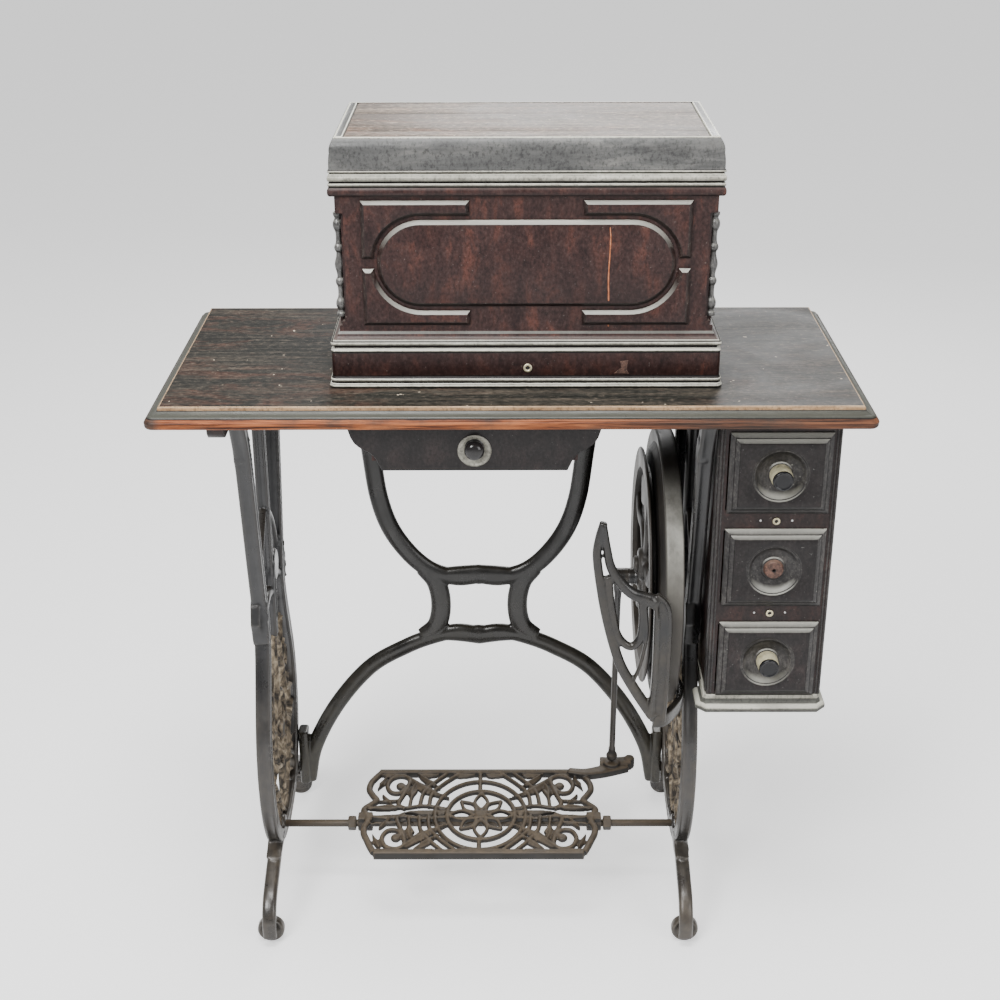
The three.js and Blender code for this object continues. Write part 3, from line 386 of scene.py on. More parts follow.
# ---------------------------------------------------------------- mesh helpers
def place(facing, across, up, out):
    """A point of a flat drawing: facing Y shows (X, Z), out to the front; X shows (Y, Z); Z shows (X, Y)."""
    spots = {"X": (out, across, up), "Y": (across, -out, up), "Z": (across, up, out)}
    return Vector(spots[facing]) * MM


def linked(name, data):
    """A new object in the scene."""
    thing = bpy.data.objects.new(name, data)
    bpy.context.scene.collection.objects.link(thing)
    return thing


def add_object(name, mesh, looks, sharp=32):
    for look in looks:
        mesh.materials.append(LOOKS[look])
    for face in mesh.polygons:
        face.use_smooth = True
    mesh.set_sharp_from_angle(angle=math.radians(sharp))
    return linked(name, mesh)


def write_back(solid, mesh):
    """Turns all faces outwards and puts an edited solid into its mesh."""
    bmesh.ops.recalc_face_normals(solid, faces=solid.faces)
    solid.to_mesh(mesh)
    solid.free()


def evaluated_mesh(thing):
    graph = bpy.context.evaluated_depsgraph_get()
    return bpy.data.meshes.new_from_object(thing.evaluated_get(graph))


def mesh_from(name, points, faces, looks, tones):
    mesh = bpy.data.meshes.new(name)
    mesh.from_pydata(points, [], faces)
    solid = bmesh.new()
    solid.from_mesh(mesh)
    write_back(solid, mesh)
    mesh.polygons.foreach_set("material_index", tones)
    return add_object(name, mesh, looks)


def dress(thing, body, slot, *nodes):
    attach(thing, body)
    if nodes:
        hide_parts(*nodes)
    return thing


def repaint(look, *nodes):
    for node in nodes:
        mesh = NODES[node].data
        mesh.materials.clear()
        mesh.materials.append(LOOKS[look])


def run(*steps):
    """A profile of (inset, z, bulge, tone); a positive bulge bows the line from the last point outwards."""
    points = [(steps[0][0], steps[0][1], 0)]
    pieces = 8                                        # straight pieces in a bowed line
    for step in steps[1:]:
        inset, z, bulge, tone = (*step, 0, 0)[:4]
        start = points[-1]
        if not bulge:
            points.append((inset, z, tone))
            continue
        chord = Vector((inset - start[0], z - start[1]))
        side = Vector((chord.y, -chord.x)).normalized() * bulge * (-1 if chord.y > 0 else 1)
        for i in range(1, pieces + 1):
            share = i / pieces
            bow = side * (4 * share * (1 - share))
            points.append((start[0] + chord.x * share + bow.x, start[1] + chord.y * share + bow.y, tone))
    return points


def arc(centre, half_u, half_v, first, last, steps):
    """Points on an ellipse between two angles in degrees."""
    points = []
    for i in range(steps + 1):
        angle = math.radians(first + (last - first) * i / steps)
        points.append((centre[0] + half_u * math.cos(angle), centre[1] + half_v * math.sin(angle)))
    return points


def corner_ring(centre, half, radius, steps, z):
    ring = []
    for corner in range(4):
        sign_x = 1 if corner in (0, 3) else -1
        sign_y = 1 if corner < 2 else -1
        for i in range(steps + 1):
            angle = math.pi / 2 * (corner + i / steps)
            ring.append(Vector((
                centre[0] + sign_x * (half[0] - radius) + radius * math.cos(angle),
                centre[1] + sign_y * (half[1] - radius) + radius * math.sin(angle), z)) * MM)
    return ring


def loft(name, rings, looks, tones, cap=True, wrap=False):
    """Joins equal rings; tones gives the material of the band below each ring."""
    count = len(rings[0])
    points = [point for ring in rings for point in ring]
    faces, marks = [], []
    for level in range(len(rings) if wrap else len(rings) - 1):
        upper = (level + 1) % len(rings)
        for i in range(count):
            follow = (i + 1) % count
            faces.append((level * count + i, level * count + follow,
                          upper * count + follow, upper * count + i))
            marks.append(tones[upper])
    if cap:
        faces.append(tuple(reversed(range(count))))
        faces.append(tuple(range((len(rings) - 1) * count, len(rings) * count)))
        marks += [tones[0], tones[-1]]
    return mesh_from(name, points, faces, looks, marks)


def moulded(name, centre, size, profile, looks, corner=4, steps=4, inner=None, ceiling=None):
    """A moulded board; inner half sizes make it a frame, and a ceiling height as well makes it a lid."""
    half = (size[0] / 2, size[1] / 2)
    outer = [corner_ring(centre, (half[0] - inset, half[1] - inset), max(corner - inset, 0.4), steps, z)
             for inset, z, _ in profile]
    tones = [tone for _, _, tone in profile]
    if inner is None:
        return loft(name, outer, looks, tones)
    low, high = profile[0][1], profile[-1][1]
    inside = [corner_ring(centre, inner, 0.4, steps, z) for z in (high if ceiling is None else ceiling, low)]
    if ceiling is None:
        return loft(name, outer + inside, looks, tones + [0, 0], cap=False, wrap=True)
    return loft(name, inside + outer, looks, [0, 0] + tones)


def rounded(points, steps=3, share=0.35):
    """Softens the corners of an open profile."""
    out = [points[0]]
    for before, here, after in zip(points, points[1:], points[2:]):
        a = Vector(here).lerp(Vector(before), share)
        b = Vector(here).lerp(Vector(after), share)
        for i in range(steps + 1):
            t = i / steps
            out.append(tuple(a * (1 - t) ** 2 + Vector(here) * (2 * t * (1 - t)) + b * t ** 2))
    out.append(points[-1])
    return out


def turned(name, profile, axis, centre, look, steps=48, wrap=False):
    """A lathe shape from a profile of (radius, distance along the axis)."""
    rings = []
    for radius, along in profile:
        ring = []
        for i in range(steps):
            angle = 2 * math.pi * i / steps
            a, b = radius * math.cos(angle), radius * math.sin(angle)
            spot = {"X": (along, a, b), "Y": (b, along, a), "Z": (a, b, along)}[axis]
            ring.append((Vector(spot) + Vector(centre)) * MM)
        rings.append(ring)
    return loft(name, rings, [look], [0] * len(rings), cap=not wrap, wrap=wrap)


def on_front(name, profile, spot, face, look, steps, wrap=False):
    """A lathe shape on a front face, at (x, z); its profile is (radius, distance out from the face)."""
    along = [(radius, -face - out) for radius, out in profile]
    return turned(name, along, "Y", (spot[0], 0, spot[1]), look, steps, wrap)


def smooth_path(points, per=8, closed=False):
    """Catmull-Rom curve through flat points."""
    spots = [Vector(p) for p in points]
    if closed:
        spots = [spots[-1], *spots, spots[0], spots[1]]
    else:
        spots = [spots[0] * 2 - spots[1], *spots, spots[-1] * 2 - spots[-2]]
    out = []
    for a, b, c, d in zip(spots, spots[1:], spots[2:], spots[3:]):
        for i in range(per):
            t = i / per
            out.append(0.5 * (2 * b + (c - a) * t + (2 * a - 5 * b + 4 * c - d) * t * t
                              + (3 * b - a - 3 * c + d) * t ** 3))
    if not closed:
        out.append(spots[-2])
    return out


def round_section(width, thick, power=2.0, count=16):
    """Superellipse: power 2 is an ellipse, higher is boxier."""
    section = []
    for i in range(count):
        angle = 2 * math.pi * (i + 0.5) / count
        c, s = math.cos(angle), math.sin(angle)
        section.append((math.copysign(abs(c) ** (2 / power), c) * width / 2,
                        math.copysign(abs(s) ** (2 / power), s) * thick / 2))
    return section


def channel_section(width, thick, groove=1.6):
    """A bar with a shallow channel down both flat faces and a rib along each edge."""
    w, t = width / 2, thick / 2
    corner = [(w - 5.5, t - groove), (w - 4, t), (w - 1.5, t), (w, t - 2), (w, t - 5), (w - 1, t - 6.5)]
    right = corner + [(a, -b) for a, b in reversed(corner)]
    return right + [(-a, -b) for a, b in right]


boxed = partial(round_section, power=5)


class Casting:
    """Bars, discs and leaves drawn on one plane and fused into a single surface."""

    def __init__(self, facing, plane):
        self.facing, self.plane = facing, plane
        self.solid = bmesh.new()

    def rings(self, rings, wrap=False):
        rows = [[self.solid.verts.new(point) for point in ring] for ring in rings]
        count = len(rows[0])
        for level in range(len(rows) if wrap else len(rows) - 1):
            upper = rows[(level + 1) % len(rows)]
            for i in range(count):
                k = (i + 1) % count
                self.solid.faces.new((rows[level][i], rows[level][k], upper[k], upper[i]))
        if not wrap:
            self.solid.faces.new(rows[0][::-1])
            self.solid.faces.new(rows[-1])

    def bar(self, points, width, thick, section=round_section, taper=(1.0, 1.0), lift=0.0, closed=False,
            per=8):
        """Sweeps a section along a smooth line; taper scales its width from the first to the last point."""
        path = smooth_path(points, per, closed)
        rings = []
        for i, spot in enumerate(path):
            ahead = path[(i + 1) % len(path)] if closed or i + 1 < len(path) else spot
            behind = path[i - 1] if closed or i else spot
            along = (ahead - behind).normalized()
            side = Vector((-along.y, along.x))
            grow = taper[0] + (taper[1] - taper[0]) * i / (len(path) - 1)
            rings.append([place(self.facing, *(spot + side * a), self.plane + lift + b)
                          for a, b in section(width * grow, thick)])
        self.rings(rings, closed)

    def disc(self, centre, radius, thick, lift=0.0, steps=24, dome=0.15):
        rings = []
        for radial, out in ((1 - dome, -0.5), (1, -0.5 + dome), (1, 0.5 - dome), (1 - dome, 0.5)):
            rings.append([place(self.facing, centre[0] + radius * radial * math.cos(2 * math.pi * i / steps),
                                centre[1] + radius * radial * math.sin(2 * math.pi * i / steps),
                                self.plane + lift + out * thick) for i in range(steps)])
        self.rings(rings)

    def leaf(self, base, tip, width, thick, bend=0.0, lobes=3):
        """A pointed leaf with scalloped edges and a raised middle."""
        start, end = Vector(base), Vector(tip)
        along = end - start
        side = Vector((-along.y, along.x)).normalized()
        rings = []
        for i in range(15):
            t = i / 14
            scallop = 1 - 0.28 * abs(math.sin(math.pi * lobes * t))
            half = max(width / 2 * math.sin(math.pi * min(1, t ** 0.7)) * scallop, 0.4)
            spot = start + along * t + side * bend * math.sin(math.pi * t)
            profile = ((-half, -0.5), (half, -0.5), (half, 0.05), (half * 0.5, 0.25), (0, 0.55),
                       (-half * 0.5, 0.25), (-half, 0.05))
            rings.append([place(self.facing, *(spot + side * a), self.plane + b * thick) for a, b in profile])
        self.rings(rings)

    def scroll(self, centre, radius, turns, start, width, thick, hand):
        """A spiral that runs in to its eye."""
        points = []
        steps = int(10 * turns)
        for i in range(steps + 1):
            share = i / steps
            angle = start + hand * 2 * math.pi * turns * share
            reach = radius * (1 - 0.78 * share)
            points.append((centre[0] + reach * math.cos(angle), centre[1] + reach * math.sin(angle)))
        self.bar(points, width, thick, taper=(1.0, 0.85), per=4)
        self.disc(points[-1], width * 0.85, thick * 1.05, steps=14, dome=0.3)

    def fuse(self, name, look, voxel, relax):
        """Merges everything into one skin with soft cast corners; relax is how often it is smoothed."""
        mesh = bpy.data.meshes.new(name)
        write_back(self.solid, mesh)
        thing = linked(name, mesh)
        skin = thing.modifiers.new("fuse", "REMESH")
        skin.mode = "VOXEL"
        skin.voxel_size = voxel * MM
        soften = thing.modifiers.new("soften", "SMOOTH")
        soften.factor = 0.5
        soften.iterations = relax
        return apply(thing, [look], 60)


def apply(thing, looks, sharp):
    """Replaces an object with the mesh that its modifiers, or its curve, give."""
    mesh = evaluated_mesh(thing)
    mesh.transform(thing.matrix_world)
    mesh.materials.clear()
    name = thing.name
    bpy.data.objects.remove(thing)
    mesh.name = name
    return add_object(name, mesh, looks, sharp)


def sheet_shape(name, loop, depth, bevel, facing, front, look):
    """A flat board of any outline with softened edges; front is how far out its face stands."""
    curve = bpy.data.curves.new(name, "CURVE")
    curve.dimensions = "2D"
    curve.fill_mode = "BOTH"
    spline = curve.splines.new("POLY")
    spline.points.add(len(loop) - 1)
    for point, (across, up) in zip(spline.points, loop):
        point.co = (across * MM, up * MM, 0, 1)
    spline.use_cyclic_u = True
    curve.extrude = (depth / 2 - bevel) * MM
    curve.bevel_depth = bevel * MM
    curve.bevel_resolution = 2
    curve.offset = -bevel * MM
    thing = linked(name, curve)
    axes = {"X": ((0, 1, 0), (0, 0, 1), (1, 0, 0)), "Y": ((1, 0, 0), (0, 0, 1), (0, -1, 0))}[facing]
    turn = Matrix(axes).transposed().to_4x4()
    thing.matrix_world = Matrix.Translation(Vector(axes[2]) * (front - depth / 2) * MM) @ turn
    bpy.context.view_layer.update()
    plate = apply(thing, [look], 40)
    solid = bmesh.new()
    solid.from_mesh(plate.data)
    bmesh.ops.remove_doubles(solid, verts=solid.verts, dist=0.01 * MM)
    write_back(solid, plate.data)
    return plate


def chamfered(name, outline, back, thick, chamfer):
    """A raised block of the cover's front with sloping edges."""
    solid = bmesh.new()
    corners = [solid.verts.new(place("Y", across, up, back)) for across, up in outline]
    face = solid.faces.new(corners)
    face.normal_update()
    if face.normal.y > 0:
        face.normal_flip()
    wall = bmesh.ops.extrude_face_region(solid, geom=[face])
    grown = [item for item in wall["geom"] if isinstance(item, bmesh.types.BMVert)]
    bmesh.ops.translate(solid, verts=grown, vec=Vector((0, -(thick - chamfer * 0.9) * MM, 0)))
    front = [item for item in wall["geom"] if isinstance(item, bmesh.types.BMFace)]
    for share, rise in ((0.25, 0.35), (0.6, 0.5), (0.15, 0.05)):
        sloped = bmesh.ops.inset_region(solid, faces=front, thickness=chamfer * share * MM,
                                        depth=chamfer * rise * MM, use_even_offset=True)
        for item in sloped["faces"]:
            item.material_index = 1
    mesh = bpy.data.meshes.new(name)
    write_back(solid, mesh)
    return add_object(name, mesh, ["body", "bevel"], 20)


def boxy(name, low, high, look, bevel=0.8):
    """A board with softened edges."""
    (x0, y0, z0), (x1, y1, z1) = low, high
    profile = [(bevel, z0, 0), (bevel * 0.3, z0 + bevel * 0.3, 0), (0, z0 + bevel, 0), (0, z1 - bevel, 0),
               (bevel * 0.3, z1 - bevel * 0.3, 0), (bevel, z1, 0)]
    return moulded(name, ((x0 + x1) / 2, (y0 + y1) / 2), (x1 - x0, y1 - y0), profile, [look], bevel, 2)


def carve(thing, *boxes):
    """Cuts square holes, given as low and high corners in millimetres, and keeps the looks of each face."""
    looks = [slot.material for slot in thing.material_slots]
    tools = []
    for low, high in boxes:
        tool_mesh = bpy.data.meshes.new("tool")
        solid = bmesh.new()
        bmesh.ops.create_cube(solid, size=1.0)
        size = Vector(high) - Vector(low)
        centre = (Vector(high) + Vector(low)) / 2
        to_box = Matrix.Translation(centre * MM) @ Matrix.Diagonal((*(size * MM), 1))
        bmesh.ops.transform(solid, matrix=to_box, verts=solid.verts)
        write_back(solid, tool_mesh)
        tools.append(linked("tool", tool_mesh))
        cut = thing.modifiers.new("cut", "BOOLEAN")
        cut.operation = "DIFFERENCE"
        cut.object = tools[-1]
    mesh = evaluated_mesh(thing)
    tones = [face.material_index for face in mesh.polygons]
    mesh.materials.clear()
    for look in looks:
        mesh.materials.append(look)
    for face, tone in zip(mesh.polygons, tones):
        face.material_index = min(tone, len(looks) - 1)
    thing.modifiers.clear()
    thing.data = mesh
    for tool in tools:
        bpy.data.objects.remove(tool)


# ---------------------------------------------------------------- cover
COVER = middle("cover_body")
FLARE = 10                                            # how far the foot of the walls stands out
BODY_LOW, BODY_HIGH = span("cover_body")
COVER_FACE = -BODY_LOW.y - FLARE                      # how far out the flat front of the cover stands
WALL = 7
INNER = ((BODY_HIGH.x - BODY_LOW.x) / 2 - FLARE - WALL, (BODY_HIGH.y - BODY_LOW.y) / 2 - FLARE - WALL)
BASE_INSET = 3                                        # the base's flat band stands this far behind its foot
LID_INSET = 1                                         # the lid's moulding stands this far inside its node
NOTCH_FOOT, NOTCH_TOP = 852, 977                      # heights of the corner notches for the spindles
WOOD = ["body", "mould", "bead", "groove", "cove"]    # tones 0 to 4 of a moulding


def make_keyhole(name, node, face, radius):
    """A brass ring round a black disc that paints the shade of the hole."""
    spot = middle(node).xz
    ring = on_front(f"{name}_keyhole_ring_detail", rounded(
        [(0.44 * radius, 0), (0.9 * radius, 0), (radius, 1.4), (0.65 * radius, 2.0), (0.44 * radius, 1.2),
         (0.44 * radius, 0)]), spot, face, "brass", 32, wrap=True)
    dress(ring, "stand", "brass", node)
    # No hole is cut: a black disc paints its shade.
    dark = [(0.01, 0.3), (0.46 * radius, 0.3), (0.46 * radius, -0.5), (0.01, -0.5)]
    hole = on_front(f"{name}_keyhole", dark, spot, face, "hole", 24)
    dress(hole, "stand", "dark_wood")


def make_cover_base():
    low, high = span("cover_base")
    profile = run(
        (0.8, low.z), (0, low.z + 1.2, 0, 1), (0, 774.6, 0.8, 2), (1.2, 776.6, 0.4, 2), (2.6, 777.2, 0, 3),
        (2.2, 778.2, 0, 3), (1.2, 779.0, 0, 2), (1.6, 782.2, 0.8, 2), (3.4, 784.2, 0, 3),
        (BASE_INSET + 0.4, 785.4, 0, 3), (BASE_INSET, 786.4), (BASE_INSET, 813), (3.8, 813.8, 0, 3),
        (3.0, 814.8, 0, 1), (3.4, 817.2, 0.9, 2), (6.6, 818.6, 0.3, 2), (8, high.z, 0, 3))
    base = moulded("cover_base_frame", COVER, (high.x - low.x, high.y - low.y), profile, WOOD, 8, 5, INNER)
    dress(base, "stand", "dark_wood", "cover_base")
    face = -(low.y + BASE_INSET)
    outline = [(121, 788), (139, 787.5), (136, 792), (137.5, 804), (128, 803), (130, 795)]
    chip = sheet_shape("cover_base_chip", outline, 1.2, 0.3, "Y", face + 0.4, "stub")
    dress(chip, "stand", "dark_wood")
    make_keyhole("cover", "cover_keyhole_ring", face, 5.4)


def make_cover_body():
    low, high = BODY_LOW, BODY_HIGH
    profile = run(
        (0.8, low.z), (0, low.z + 1.0, 0, 3), (0, low.z + 4.6, 0.8, 2), (1.6, low.z + 5.4, 0, 3),
        (2.0, low.z + 6.2, 0, 1), (2.6, low.z + 7.0, 0, 2), (7.6, low.z + 12.6, -1.4, 0),
        (9.6, low.z + 15.2, 0, 1), (FLARE, low.z + 17), (FLARE, high.z))
    body = moulded("cover_walls", COVER, (high.x - low.x, high.y - low.y), profile, WOOD, 3, 4, INNER)
    for word, side in SIDES:
        near, far = sorted((COVER.x + side * (INNER[0] - 9), COVER.x + side * (INNER[0] + 1)))
        post = boxy(f"cover_corner_post_{word}", (near, -COVER_FACE + 5, low.z + 1),
                    (far, -COVER_FACE + 26, high.z), "body")
        dress(post, "cover", "dark_wood")
    cuts = []
    for _, side in SIDES:
        for inner, foot, top in ((209, NOTCH_FOOT + 2, NOTCH_TOP), (211, NOTCH_FOOT - 3, NOTCH_FOOT + 2.1),
                                 (214.5, NOTCH_FOOT - 8, NOTCH_FOOT - 2.9)):
            near, far = sorted((COVER.x + side * inner, COVER.x + side * 236))
            cuts.append(((near, -COVER_FACE - 14, foot), (far, -COVER_FACE + 18, top)))
    carve(body, *cuts)
    dress(body, "cover", "dark_wood", "cover_body")


def make_scratch():
    """A bare scratch down the front, over the wall, the raised panel and the wall again."""
    scar = Casting("Y", COVER_FACE + 0.1)
    scar.bar([(114, 842), (113, 852), (113.4, 862)], 2.0, 1.2, per=3)
    scar.bar([(113, 875), (112.2, 905), (113.6, 946), (112.6, 962)], 2.0, 1.2, lift=6.4, taper=(1, 0.7))
    scar.bar([(112, 978), (111.4, 992)], 1.6, 1.2, lift=0.2, per=3)
    dress(scar.fuse("cover_front_scratch", "edge_scar", 0.5, 0), "cover", "dark_wood")


def make_cover_lid():
    low, high = span("cover_lid")
    top = span("cover_top_board")[1].z
    steps = (
        (2, low.z), (0.4, low.z + 1.4), (1.2, 1007.2, 1.0), (3.0, 1008.2, 0, 3), (1.2, 1009.2, 0, 2),
        (1.8, 1012.2, 0.9, 2), (4.0, 1013.2, 0, 3), (3.6, 1014.0, 0, 3), (1.0, 1014.8, 0, 2),
        (1.2, 1020.4, 0.9, 2), (2.8, 1023.0, 0.3, 2), (4.0, 1023.8, 0, 3), (1.0, 1024.8, 0, 2),
        (1.2, 1026.4, 0.3, 2), (2.2, 1027.2, 0, 3), (2.4, 1029, 0, 4), (3.6, 1046, 0.5, 4),
        (8.6, top - 1.6, 1.8, 4), (9.8, top - 0.2, 0.4, 2), (11.4, top - 0.4, 0, 2), (12, top - 2.4, 0, 3))
    profile = run(*((inset + LID_INSET, *rest) for inset, *rest in steps))
    size = (high.x - low.x, high.y - low.y)
    lid = moulded("cover_lid_moulded", COVER, size, profile, WOOD, 3, 4, INNER, ceiling=1049)
    dress(lid, "cover", "dark_wood", "cover_lid")
    make_cover_top(high.z)


def make_cover_top(base):
    """Long planks between the narrow mouldings at the two ends."""
    low, high = span("cover_top_board")
    left, right = low.x + 2.2, high.x - 2.2
    front, back = low.y + 0.6, high.y - 0.6
    seams = [front + 2.4, front + 31, front + 137, back - 2.4]
    for number, (near, far) in enumerate(zip(seams, seams[1:]), 1):
        board = boxy(f"cover_top_plank_{number}", (left, near + 0.4, base),
                     (right, far - 0.4, high.z - 0.3 * number), "lid", 0.7)
        dress(board, "cover", "table_wood", *(["cover_top_board"] if number == 2 else []))
    profile = run((0.2, base), (0, base + 0.6, 0, 1), (0.6, high.z - 0.5, 0.4, 2), (1.8, high.z, 0.2, 2),
                  (2.4, high.z - 0.2, 0, 4))
    for word, side in SIDES:
        node = f"cover_top_strip_{word}"
        spot = (middle(node).x - side, COVER.y)
        strip = moulded(f"cover_top_edge_{word}", spot, (9.6, back - front - 5), profile, WOOD, 1, 2)
        dress(strip, "cover", "table_wood", node)


def make_frets():
    """Corner blocks and the raised oval panel between them, all with sloping edges."""
    panel_low, panel_high = span("cover_oval_panel")
    middle_z = (panel_low.z + panel_high.z) / 2
    radius = (panel_high.z - panel_low.z) / 2
    reach = (panel_high.x - panel_low.x) / 2 - radius
    outline = []
    for centre, start in ((reach, -90), (-reach, 90)):
        outline += arc((COVER.x + centre, middle_z), radius, radius, start, start + 180, 24)
    panel = chamfered("cover_oval_panel_raised", outline, COVER_FACE + 0.2, 6.3, 5.2)
    dress(panel, "cover", "dark_wood", "cover_oval_panel")
    gap = 5                                           # between the panel and the blocks round it
    for word_z, sign_z in (("top", 1), ("bottom", -1)):
        for word_x, sign_x in SIDES:
            node = f"cover_fret_{word_z}_{word_x}"
            low, high = span(node)
            inner_end = abs((high.x if sign_x < 0 else low.x) - COVER.x)
            half_width = abs((low.x if sign_x < 0 else high.x) - COVER.x)
            half_height = max(abs(low.z - middle_z), abs(high.z - middle_z))
            shape = [(inner_end, radius + gap), (inner_end, half_height), (half_width, half_height),
                     (half_width, 6), *arc((reach - 1, 0), radius + gap, radius + gap, 6, 90, 16)]
            placed = [(COVER.x + sign_x * a, middle_z + sign_z * b) for a, b in shape]
            dress(chamfered(f"{node}_block", placed, COVER_FACE + 0.2, 6.2, 4.6), "cover", "dark_wood", node)


def make_spindles():
    beads = [(0.05, 0), (4.6, 0), (5.2, 1), (5.2, 4), (4, 5.6), (3.4, 8), (5.4, 11), (6.1, 15), (5.4, 19),
             (3.2, 23), (2.9, 30), (3.4, 37), (4.8, 39), (5.6, 42), (4.8, 45), (3.0, 47), (3.6, 53),
             (6.2, 62), (3.6, 71), (3.0, 77), (4.8, 79), (5.6, 82), (4.8, 85), (3.4, 87), (2.9, 94),
             (3.2, 101), (5.4, 105), (6.1, 109), (5.4, 113), (3.4, 116), (4, 118.4), (5.2, 120), (5.2, 123),
             (4.6, 124), (0.05, 124)]
    for word, _ in SIDES:
        node = f"cover_spindle_{word}"
        spot = middle(node)
        foot = (spot.x, spot.y, span(node)[0].z)
        spindle = turned(f"{node}_turned", rounded(beads, 2, 0.4), "Z", foot, "spindle", 28)
        dress(spindle, "cover", "dark_wood", node)


# ---------------------------------------------------------------- table
BELT_X = 180
BELT_SLOTS_Y = (-83, 71)


def make_table():
    low, high = span("table_top")
    top = high.z
    profile = run(
        (12, low.z), (3, low.z + 0.6, 0.4, 1), (0.2, 752.0, 1.2, 1), (1.4, 757.0, 1.0, 1),
        (3.6, 759.2, 0.6, 1), (4.2, 760.2, 0, 3), (6.5, 761.8, 0.3, 2), (14.2, 765.4, -0.8, 2),
        (15.2, 766.0, 0, 3), (15.4, 768.8, 0, 4), (16.0, 770.0, 0, 4), (17.6, top, 0.2, 4), (19, top))
    board = moulded("table_board", (0, 0), (high.x - low.x, high.y - low.y), profile,
                    ["top", "edge", "slope", "groove", "tan"], 11, 6)
    below, above = 740, 780                           # the holes are cut right through the board
    bed_low, bed_high = span("head_bed")
    slots = [((BELT_X - 8, y - 9, below), (BELT_X + 8, y + 9, above)) for y in BELT_SLOTS_Y]
    carve(board, ((bed_low.x - 1, bed_low.y - 1, below), (bed_high.x + 1, bed_high.y + 1, above)), *slots)
    dress(board, "stand", "table_wood", "table_top")
    low, high = span("left_cleat")
    outline = [(-190, 738), (-184, 731), (-176, 728), (178, 728), (186, 731), (190, 738), (190, high.z),
               (-190, high.z)]
    cleat = sheet_shape("table_cleat_left", outline, high.x - low.x, 1.2, "X", high.x, "case")
    dress(cleat, "stand", "dark_wood", "left_cleat")


# ---------------------------------------------------------------- drawers
def make_centre_drawer():
    low, high = span("center_drawer_front")
    x = (low.x + high.x) / 2
    face = -low.y
    side = [(150, 744), (149, 737), (147, 730), (145, 724), (141, 717), (136, 712.4), (130, 708.6),
            (124, 705.4), (119, 701), (115.5, 696), (113, 690), (109.5, 682.5)]
    outline = [(x + a, z) for a, z in side] + [(x - a, z) for a, z in reversed(side)]
    front = sheet_shape("center_drawer_board", outline, high.y - low.y, 1.6, "Y", face, "drawer")
    dress(front, "center_drawer", "dark_wood", "center_drawer_front")
    repaint("tray", "center_drawer_tray")
    repaint("body", "center_drawer_runner_left", "center_drawer_runner_right")
    rosette = on_front("center_drawer_rosette", rounded(
        [(11, -0.4), (20, -0.4), (20, 0.8), (18.4, 2.0), (15.6, 1.9), (12, 0.5), (11, -0.4)], 3),
        (x, 708), face, "bead", 64, wrap=True)
    dress(rosette, "center_drawer", "dark_wood")
    knob_low, knob_high = span("center_drawer_knob")
    reach = -knob_low.y - face
    knob = on_front("center_drawer_knob_turned", rounded(
        [(0.05, 0.2), (11, 0.2), (11.6, 1.6), (6.5, 3.2), (5.4, 4.6), (9.4, 6.4), (11.8, 9.8),
         (11.6, reach - 5.4), (8.6, reach - 2), (4.6, reach - 0.4), (0.05, reach)], 4, 0.4),
        (x, (knob_low.z + knob_high.z) / 2), face, "gloss", 56)
    dress(knob, "center_drawer", "dark_wood", "center_drawer_knob")


RING_POINTS = 64                                      # points round the dish of a side drawer


def ring_square(x, z, half_x, half_z, out):
    """A rectangle with the same number of points as a circle, corners included."""
    points = []
    per = RING_POINTS // 4
    corners = [(half_x, half_z), (-half_x, half_z), (-half_x, -half_z), (half_x, -half_z)]
    for (ax, az), (bx, bz) in zip(corners, corners[1:] + corners[:1]):
        for i in range(per):
            t = i / per
            points.append(place("Y", x + ax + (bx - ax) * t, z + az + (bz - az) * t, out))
    return points


def ring_circle(x, z, radius, out):
    points = []
    for i in range(RING_POINTS):
        angle = math.pi / 4 + 2 * math.pi * i / RING_POINTS
        points.append(place("Y", x + radius * math.cos(angle), z + radius * math.sin(angle), out))
    return points


def make_side_drawer(number):
    """A raised front with a turned dish; drawer 2 has only the stub of its knob."""
    node = f"side_drawer_front_{number}"
    body = f"side_drawer_{number}"
    low, high = span(node)
    x, z = (low.x + high.x) / 2, (low.z + high.z) / 2
    half_x, half_z = (high.x - low.x) / 2, (high.z - low.z) / 2
    back = -high.y
    steps = [(0, 0, 0), (0, 2.0, 1), (0.5, 2.8, 1), (5.4, 5.4, 1), (5.8, 5.5, 5), (6.2, 6.2, 5),
             (11.0, 8.9, 1), (11.4, 9.0, 5), (11.8, 9.4, 5), (13, 9.6, 0)]
    dish = [(34.2, 9.6, 0), (33.4, 9.3, 1), (32.4, 8.2, 1), (31.0, 8.4, 1), (30.2, 8.0, 1), (28.4, 5.6, 1),
            (25, 3.6, 1), (20, 2.4, 1), (15.5, 2.0, 1), (14.6, 2.6, 1), (14.0, 3.6, 1), (12.5, 4.0, 1)]
    if number == 2:
        # The stub's socket is lined with the hole black, a painted shade.
        dish += [(11.2, 8.6, 3), (10.4, 9.4, 3), (2.4, 9.5, 3), (1.9, 8.6, 4), (1.8, 5.0, 4)]
    rings = [ring_square(x, z, half_x - inset, half_z - inset, back + out) for inset, out, _ in steps]
    rings += [ring_circle(x, z, radius, back + out) for radius, out, _ in dish]
    tones = [tone for _, _, tone in steps + dish]
    front = loft(f"{body}_front", rings, ["drawer", "mould", "bead", "stub", "hole", "groove"], tones)
    dress(front, body, "dark_wood", node)
    repaint("tray", f"side_drawer_tray_{number}")
    if number != 2:
        make_side_knob(number, (x, z), back + 3.6)


